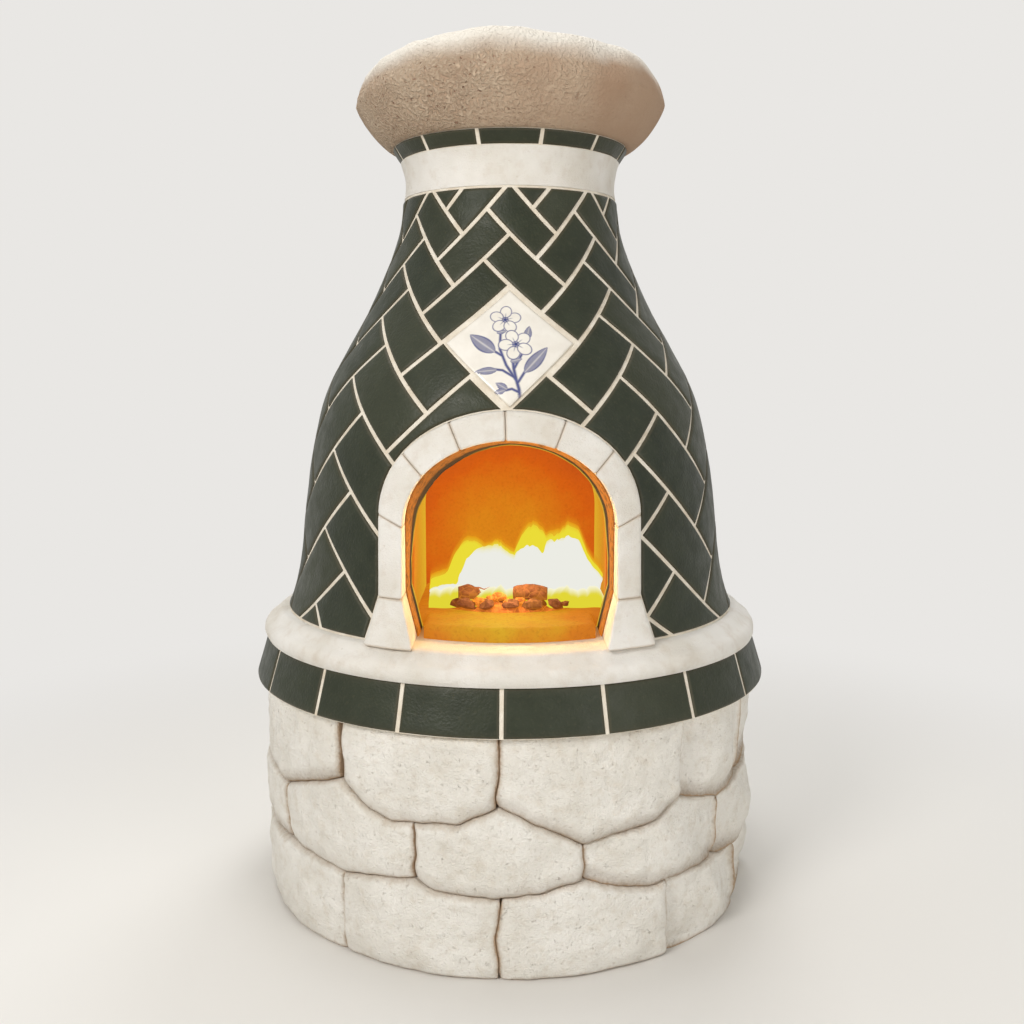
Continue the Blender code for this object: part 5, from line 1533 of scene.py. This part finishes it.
def strew_chunks():
    """Half-burnt chunks in two ragged rows along the front of the ember bed."""
    parts, glow = [], []
    for n in range(CHUNK_COUNT):
        x = CHUNK_FIRST + CHUNK_STEP * n + DRAWS.uniform(-0.005, 0.005)
        y = CHUNK_FRONT - CHUNK_STAGGER * (n % 2) - DRAWS.uniform(0.0, 0.006)
        size, turn, seed = DRAWS.uniform(0.010, 0.014), DRAWS.uniform(-0.6, 0.6), DRAWS.uniform(0, 9)
        bm = bmesh.new()
        bmesh.ops.create_icosphere(bm, subdivisions=1, radius=size)
        for vert in bm.verts:
            vert.co *= 1 + 0.5 * noise.noise(vert.co / size + Vector((seed, 0, 0)))
            vert.co = (vert.co.x * 1.7, vert.co.y, vert.co.z * 0.9)
        lie = Matrix.Rotation(turn, 3, "Z") @ Matrix.Rotation(turn / 2, 3, "Y")
        bmesh.ops.rotate(bm, verts=bm.verts, matrix=lie)
        bmesh.ops.bevel(bm, geom=bm.edges[:], offset=0.0008, segments=2, affect="EDGES")
        parts.append(laid_at(bm, x, y - EMBER_SETBACK, FLOOR_TOP + 0.014))
        glow += [DRAWS.uniform(0.1, 0.6)] * len(parts[-1][0])
    points, faces = join(parts)
    piece("charred_chunks", points, faces, CHUNKS, "embers", marks={"hotness_and_firelight": glow}, sharp=28)


def stack_firewood():
    """Split billets burnt down to charred, cracked logs."""
    for number, (length, thick, tall, across, forward, over, turn) in enumerate(LOGS):
        rows, steps = max(12, round(length / 0.006)), 30
        angle = math.radians(turn)
        burnt_down = length < 0.1
        points, heat_and_light = [], []
        for i in range(rows):
            share = i / (rows - 1)
            end = min(share, 1 - share) * length
            taper = math.sqrt(1 - max(0.0, 1 - end / 0.006) ** 2) * 0.25 + 0.75
            for j in range(steps):
                round_at = math.tau * j / steps
                u, v = math.cos(round_at), math.sin(round_at)
                spot = (share * length + number, u * 0.02, v * 0.02)
                bark = 1 - 0.10 * abs(lumps(spot, 0.018, 2)) - 0.05 * abs(lumps(spot, 0.007))
                x = (share - 0.5) * length * 0.99
                split = 1 - (0.55 if burnt_down else 0.25) * max(0.0, v)
                y = u * thick / 2 * taper * bark * 0.98 * split
                ridge = 1 - (0.45 * abs(2 * share - 1) if burnt_down else 0.1) * max(0.0, v)
                z = held(v * 0.5 * bark * ridge, -0.40, 0.40) / 0.8 * tall * (taper * 0.1 + 0.9) + tall / 2
                points.append((x * math.cos(angle) - y * math.sin(angle) + across,
                               x * math.sin(angle) + y * math.cos(angle) + forward, EMBER_TOP + over + z))
                heat_and_light.append(max(0.0, 0.9 - z / tall * 0.7))
        name = f"firewood_{number + 1}"
        piece(name, points, tube_faces(rows, steps), CHAR, "charred_wood", name, marks={"hotness_and_firelight": heat_and_light},
              sharp=60)


FLAME_FOOT = EMBER_TOP + 0.008
FLAME_PLACE = -0.214
FLAME_LINE = (                    # across, height of the white heart, height of the yellow fringe
    (-0.150, 0.008, 0.026), (-0.142, 0.018, 0.038), (-0.130, 0.026, 0.044), (-0.118, 0.030, 0.048),
    (-0.106, 0.032, 0.058), (-0.098, 0.036, 0.078), (-0.088, 0.046, 0.096), (-0.079, 0.068, 0.109),
    (-0.072, 0.088, 0.108), (-0.064, 0.094, 0.099), (-0.054, 0.093, 0.096), (-0.044, 0.095, 0.099),
    (-0.034, 0.097, 0.104), (-0.024, 0.094, 0.101), (-0.010, 0.085, 0.092), (0.002, 0.078, 0.084),
    (0.010, 0.074, 0.079), (0.015, 0.076, 0.081), (0.021, 0.093, 0.103), (0.028, 0.106, 0.124),
    (0.035, 0.110, 0.136), (0.042, 0.106, 0.138), (0.049, 0.100, 0.131), (0.056, 0.096, 0.113),
    (0.064, 0.097, 0.109), (0.072, 0.103, 0.115), (0.080, 0.113, 0.123), (0.087, 0.113, 0.122),
    (0.092, 0.107, 0.115), (0.098, 0.116, 0.132), (0.105, 0.121, 0.136), (0.113, 0.119, 0.134),
    (0.122, 0.098, 0.112), (0.133, 0.078, 0.088), (0.144, 0.060, 0.070), (0.153, 0.046, 0.056),
    (0.162, 0.028, 0.038), (0.168, 0.010, 0.020),
)
FLAME_RAGS = ((0.014, 2.0), (0.006, 7.0))              # width of each, and its own row of the noise
TIP_STEP, TIP_STEPS, TIP_ROUND = 0.001, 12, 0.022      # how the flames' tips are rounded along the fire
LICK_PLACE, LICK_FOOT = -0.240, FLOOR_TOP + 0.004
LICK_HEIGHTS = (0.030, 0.038, 0.031, 0.042, 0.033, 0.044, 0.032, 0.038)


def flame_curtain(name, material, tops, deep, rim, place=FLAME_PLACE, foot=FLAME_FOOT):
    """A sheet of flame along the fire: drop-shaped in section, folded, and coolest along its upper rim."""
    across = [spot[0] for spot in FLAME_LINE]
    steps, rows = 36, 240
    points, hot = [], []
    for i in range(rows):
        x = across[0] + (across[-1] - across[0]) * i / (rows - 1)
        ragged = 0.0016 * sum(noise.noise(Vector((x / width, row, 0.0))) for width, row in FLAME_RAGS)
        nearby = [TIP_STEP * n for n in range(-TIP_STEPS, TIP_STEPS + 1)]
        tall = max(float(np.interp(x + away, across, tops)) - away ** 2 / TIP_ROUND for away in nearby)
        tall = max(0.003, tall * 0.98 + ragged * min(1.0, tall / 0.06))
        near_end = min(1.0, min(i, rows - 1 - i) / 12) ** 0.5
        half = deep * min(1.0, 0.35 + tall / 0.12) * near_end + 0.0004
        folded = 0.010 * noise.noise(Vector((x / 0.035, 0.0, 5.0)))
        for j in range(steps):
            angle = math.tau * j / steps
            share = (1 - math.cos(angle)) / 2
            body = math.sin(angle) * (1 - 0.55 * share)
            sway = 0.010 * share ** 1.5 * noise.noise(Vector((x / 0.03, share * 2.5, 9.0)))
            sway = 0.004 * share ** 2 + sway
            ruck = 0.20 * noise.noise(Vector((x / 0.012, share * 3.0, 1.0 if body > 0 else 4.0)))
            points.append((x + sway, place + folded + half * body * (1 + ruck), foot + tall * share))
            hot.append(held(tall * (1 - share) / rim))
    piece(name, points, tube_faces(rows, steps), material, "embers", marks={"hotness_and_firelight": hot}, sharp=180)


def light_fire():
    """The fire: a white-hot heart before its yellow fringe, a thin veil round both, and licks at its foot."""
    hearts = [spot[1] for spot in FLAME_LINE]
    fringes = [spot[2] for spot in FLAME_LINE]
    flame_curtain("flame_hearts", FLAME_HEART, hearts, 0.034, 0.013)
    flame_curtain("flame_fringe", FLAME_FRINGE, fringes, 0.022, 0.011)
    flame_curtain("flame_veil", FLAME_VEIL, [tall + 0.014 for tall in fringes], 0.012, 0.024)
    licks = [LICK_HEIGHTS[n % len(LICK_HEIGHTS)] * min(1.0, (n + 5) / 6) for n in range(len(FLAME_LINE) - 2)]
    flame_curtain("flame_licks", FLAME_LICK, licks + [0.020, 0.008], 0.006, 0.014, LICK_PLACE, LICK_FOOT)


# CAD pieces that keep their shape

KEPT_NODES = {"base_core": MORTAR, "bell_shell": REFRACTORY, "flue_liner": FIRED_CLAY,
              "damper_plate": IRON, "damper_spindle": IRON, "damper_handle": IRON}
WORN_NODES = ("damper_handle", "damper_spindle", "flue_liner")


def dress_kept_nodes():
    """Gives the CAD pieces that show as they are their finish, and a rounded edge where it shows."""
    for name, material in KEPT_NODES.items():
        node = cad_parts[name]
        if not node.material_slots:
            node.data.materials.append(material)
        for held in node.material_slots:
            held.link = "OBJECT"
            held.material = material
        if name in WORN_NODES:
            worn = node.modifiers.new("worn edge", "BEVEL")
            worn.width = 0.0012
            worn.segments = 2
            worn.limit_method = "ANGLE"
            worn.angle_limit = math.radians(40)


# Floor, light and camera

BACKGROUND = "#e9e7e4"
LAMP_AIM = (0.0, 0.0, 0.85)
SOFT_LAMPS = (                    # name, place, width, power, colour
    ("key_softbox", (-2.1, -3.2, 2.8), 1.6, 88.0, "#fffcf8"),
    ("fill_softbox", (2.3, -3.0, 1.5), 2.4, 37.0, "#faf7f3"),
    ("top_softbox", (-0.3, 0.6, 3.9), 2.2, 50.0, "#ffffff"),
    ("back_softbox", (0.8, 2.9, 3.7), 2.0, 48.0, "#ffffff"),
)


def hang_lamp(name, kind, place, power, colour):
    """A lamp at a place."""
    data = bpy.data.lights.new(name, kind)
    data.energy = power
    data.color = linear(colour)[:3]
    lamp = bpy.data.objects.new(name, data)
    lamp.location = place
    bpy.context.scene.collection.objects.link(lamp)
    return lamp


def showing(tree):
    """1 for what the camera sees, straight or in a reflection or through glass."""
    seen = add(tree, "LightPath", {}).outputs
    straight = add(tree, "Math", {0: seen["Is Camera Ray"], 1: seen["Is Transmission Ray"]},
                   operation="MAXIMUM").outputs[0]
    return add(tree, "Math", {0: straight, 1: seen["Is Glossy Ray"]}, operation="MAXIMUM").outputs[0]


def set_stage():
    """A plain pale floor that runs out into an even pale background."""
    mesh = bpy.data.meshes.new("studio_floor")
    steps, radius = 96, 30.0
    edge = [round_front(radius, 360 * i / steps, 0.0) for i in range(steps)]
    mesh.from_pydata(edge, [], [tuple(range(steps))])
    floor = bpy.data.objects.new("studio_floor", mesh)
    bpy.context.scene.collection.objects.link(floor)
    material, tree, shader, point = start("pale_studio_floor")
    feed(tree, shader, {"Base Color": "#e4e2de", "Roughness": 0.9, "Specular IOR Level": 0.0})
    away = add(tree, "VectorMath", {0: point}, operation="LENGTH").outputs["Value"]
    far = add(tree, "MapRange", {"Value": away, "From Min": 0.8, "From Max": 2.2},
              interpolation_type="SMOOTHSTEP").outputs["Result"]
    plain = add(tree, "Emission", {"Color": BACKGROUND, "Strength": 1.0})
    share = add(tree, "Math", {0: far, 1: showing(tree)}, operation="MULTIPLY").outputs[0]
    shown = add(tree, "MixShader", {0: share, 1: shader.outputs[0], 2: plain.outputs[0]})
    feed(tree, tree.nodes["Material Output"], {"Surface": shown.outputs[0]})
    mesh.materials.append(material)

    world = bpy.data.worlds.new("studio")
    bpy.context.scene.world = world
    world.use_nodes = True
    tree = world.node_tree
    plain = add(tree, "Background", {"Color": BACKGROUND, "Strength": 1.0})
    light = add(tree, "Background", {"Color": "#f4f2ee", "Strength": 0.42})
    shown = add(tree, "MixShader", {0: showing(tree), 1: light.outputs[0], 2: plain.outputs[0]})
    feed(tree, tree.nodes["World Output"], {"Surface": shown.outputs[0]})


def hang_lamps():
    """Soft studio lamps round the stove, and the fire's own light before the flames."""
    for name, place, width, power, colour in SOFT_LAMPS:
        lamp = hang_lamp(name, "AREA", place, power, colour)
        lamp.data.shape = "DISK"
        lamp.data.size = width
        lamp.rotation_euler = (Vector(LAMP_AIM) - Vector(place)).to_track_quat("-Z", "Y").to_euler()
    lamp = hang_lamp("firelight", "POINT", (0.0, -0.275, FLOOR_TOP + 0.115), 2.6, "#ffcc80")
    lamp.data.shadow_soft_size = 0.05


def set_camera():
    """The photograph's angle: a little above the middle of the stove, looking slightly down."""
    data = bpy.data.cameras.new("camera")
    half_width, focal_length = 512, 1103      # in pixels of the photograph
    data.angle = 2 * math.atan(half_width / focal_length)
    camera = bpy.data.objects.new("camera", data)
    camera.location = (0.004, -2.237, 1.027)
    camera.rotation_euler = (math.radians(82.62), 0, 0)
    bpy.context.scene.collection.objects.link(camera)
    bpy.context.scene.camera = camera


set_camera()
lay_base()
lay_ring("shelf_band", SHELF_RING, BAND_FOOT, BAND_TOP, CORE_RADIUS + 0.0012, "shelf_tile_band")
pour_shelf()
clad_bell()
fire_picture()
set_arch()
line_firebox()
wall_firebox()
lay_hearth_floor()
blacken_throat()
spread_embers()
strew_coals()
strew_chunks()
stack_firewood()
light_fire()
render_collar()
lay_ring("neck_band", NECK_RING, NECK_BAND_FOOT, NECK_BAND_TOP, NECK_CORE_RADIUS + 0.0007, "neck_tile_band")
trowel_crown()
dress_kept_nodes()
set_stage()
hang_lamps()
bpy.context.scene.view_settings.view_transform = "Standard"
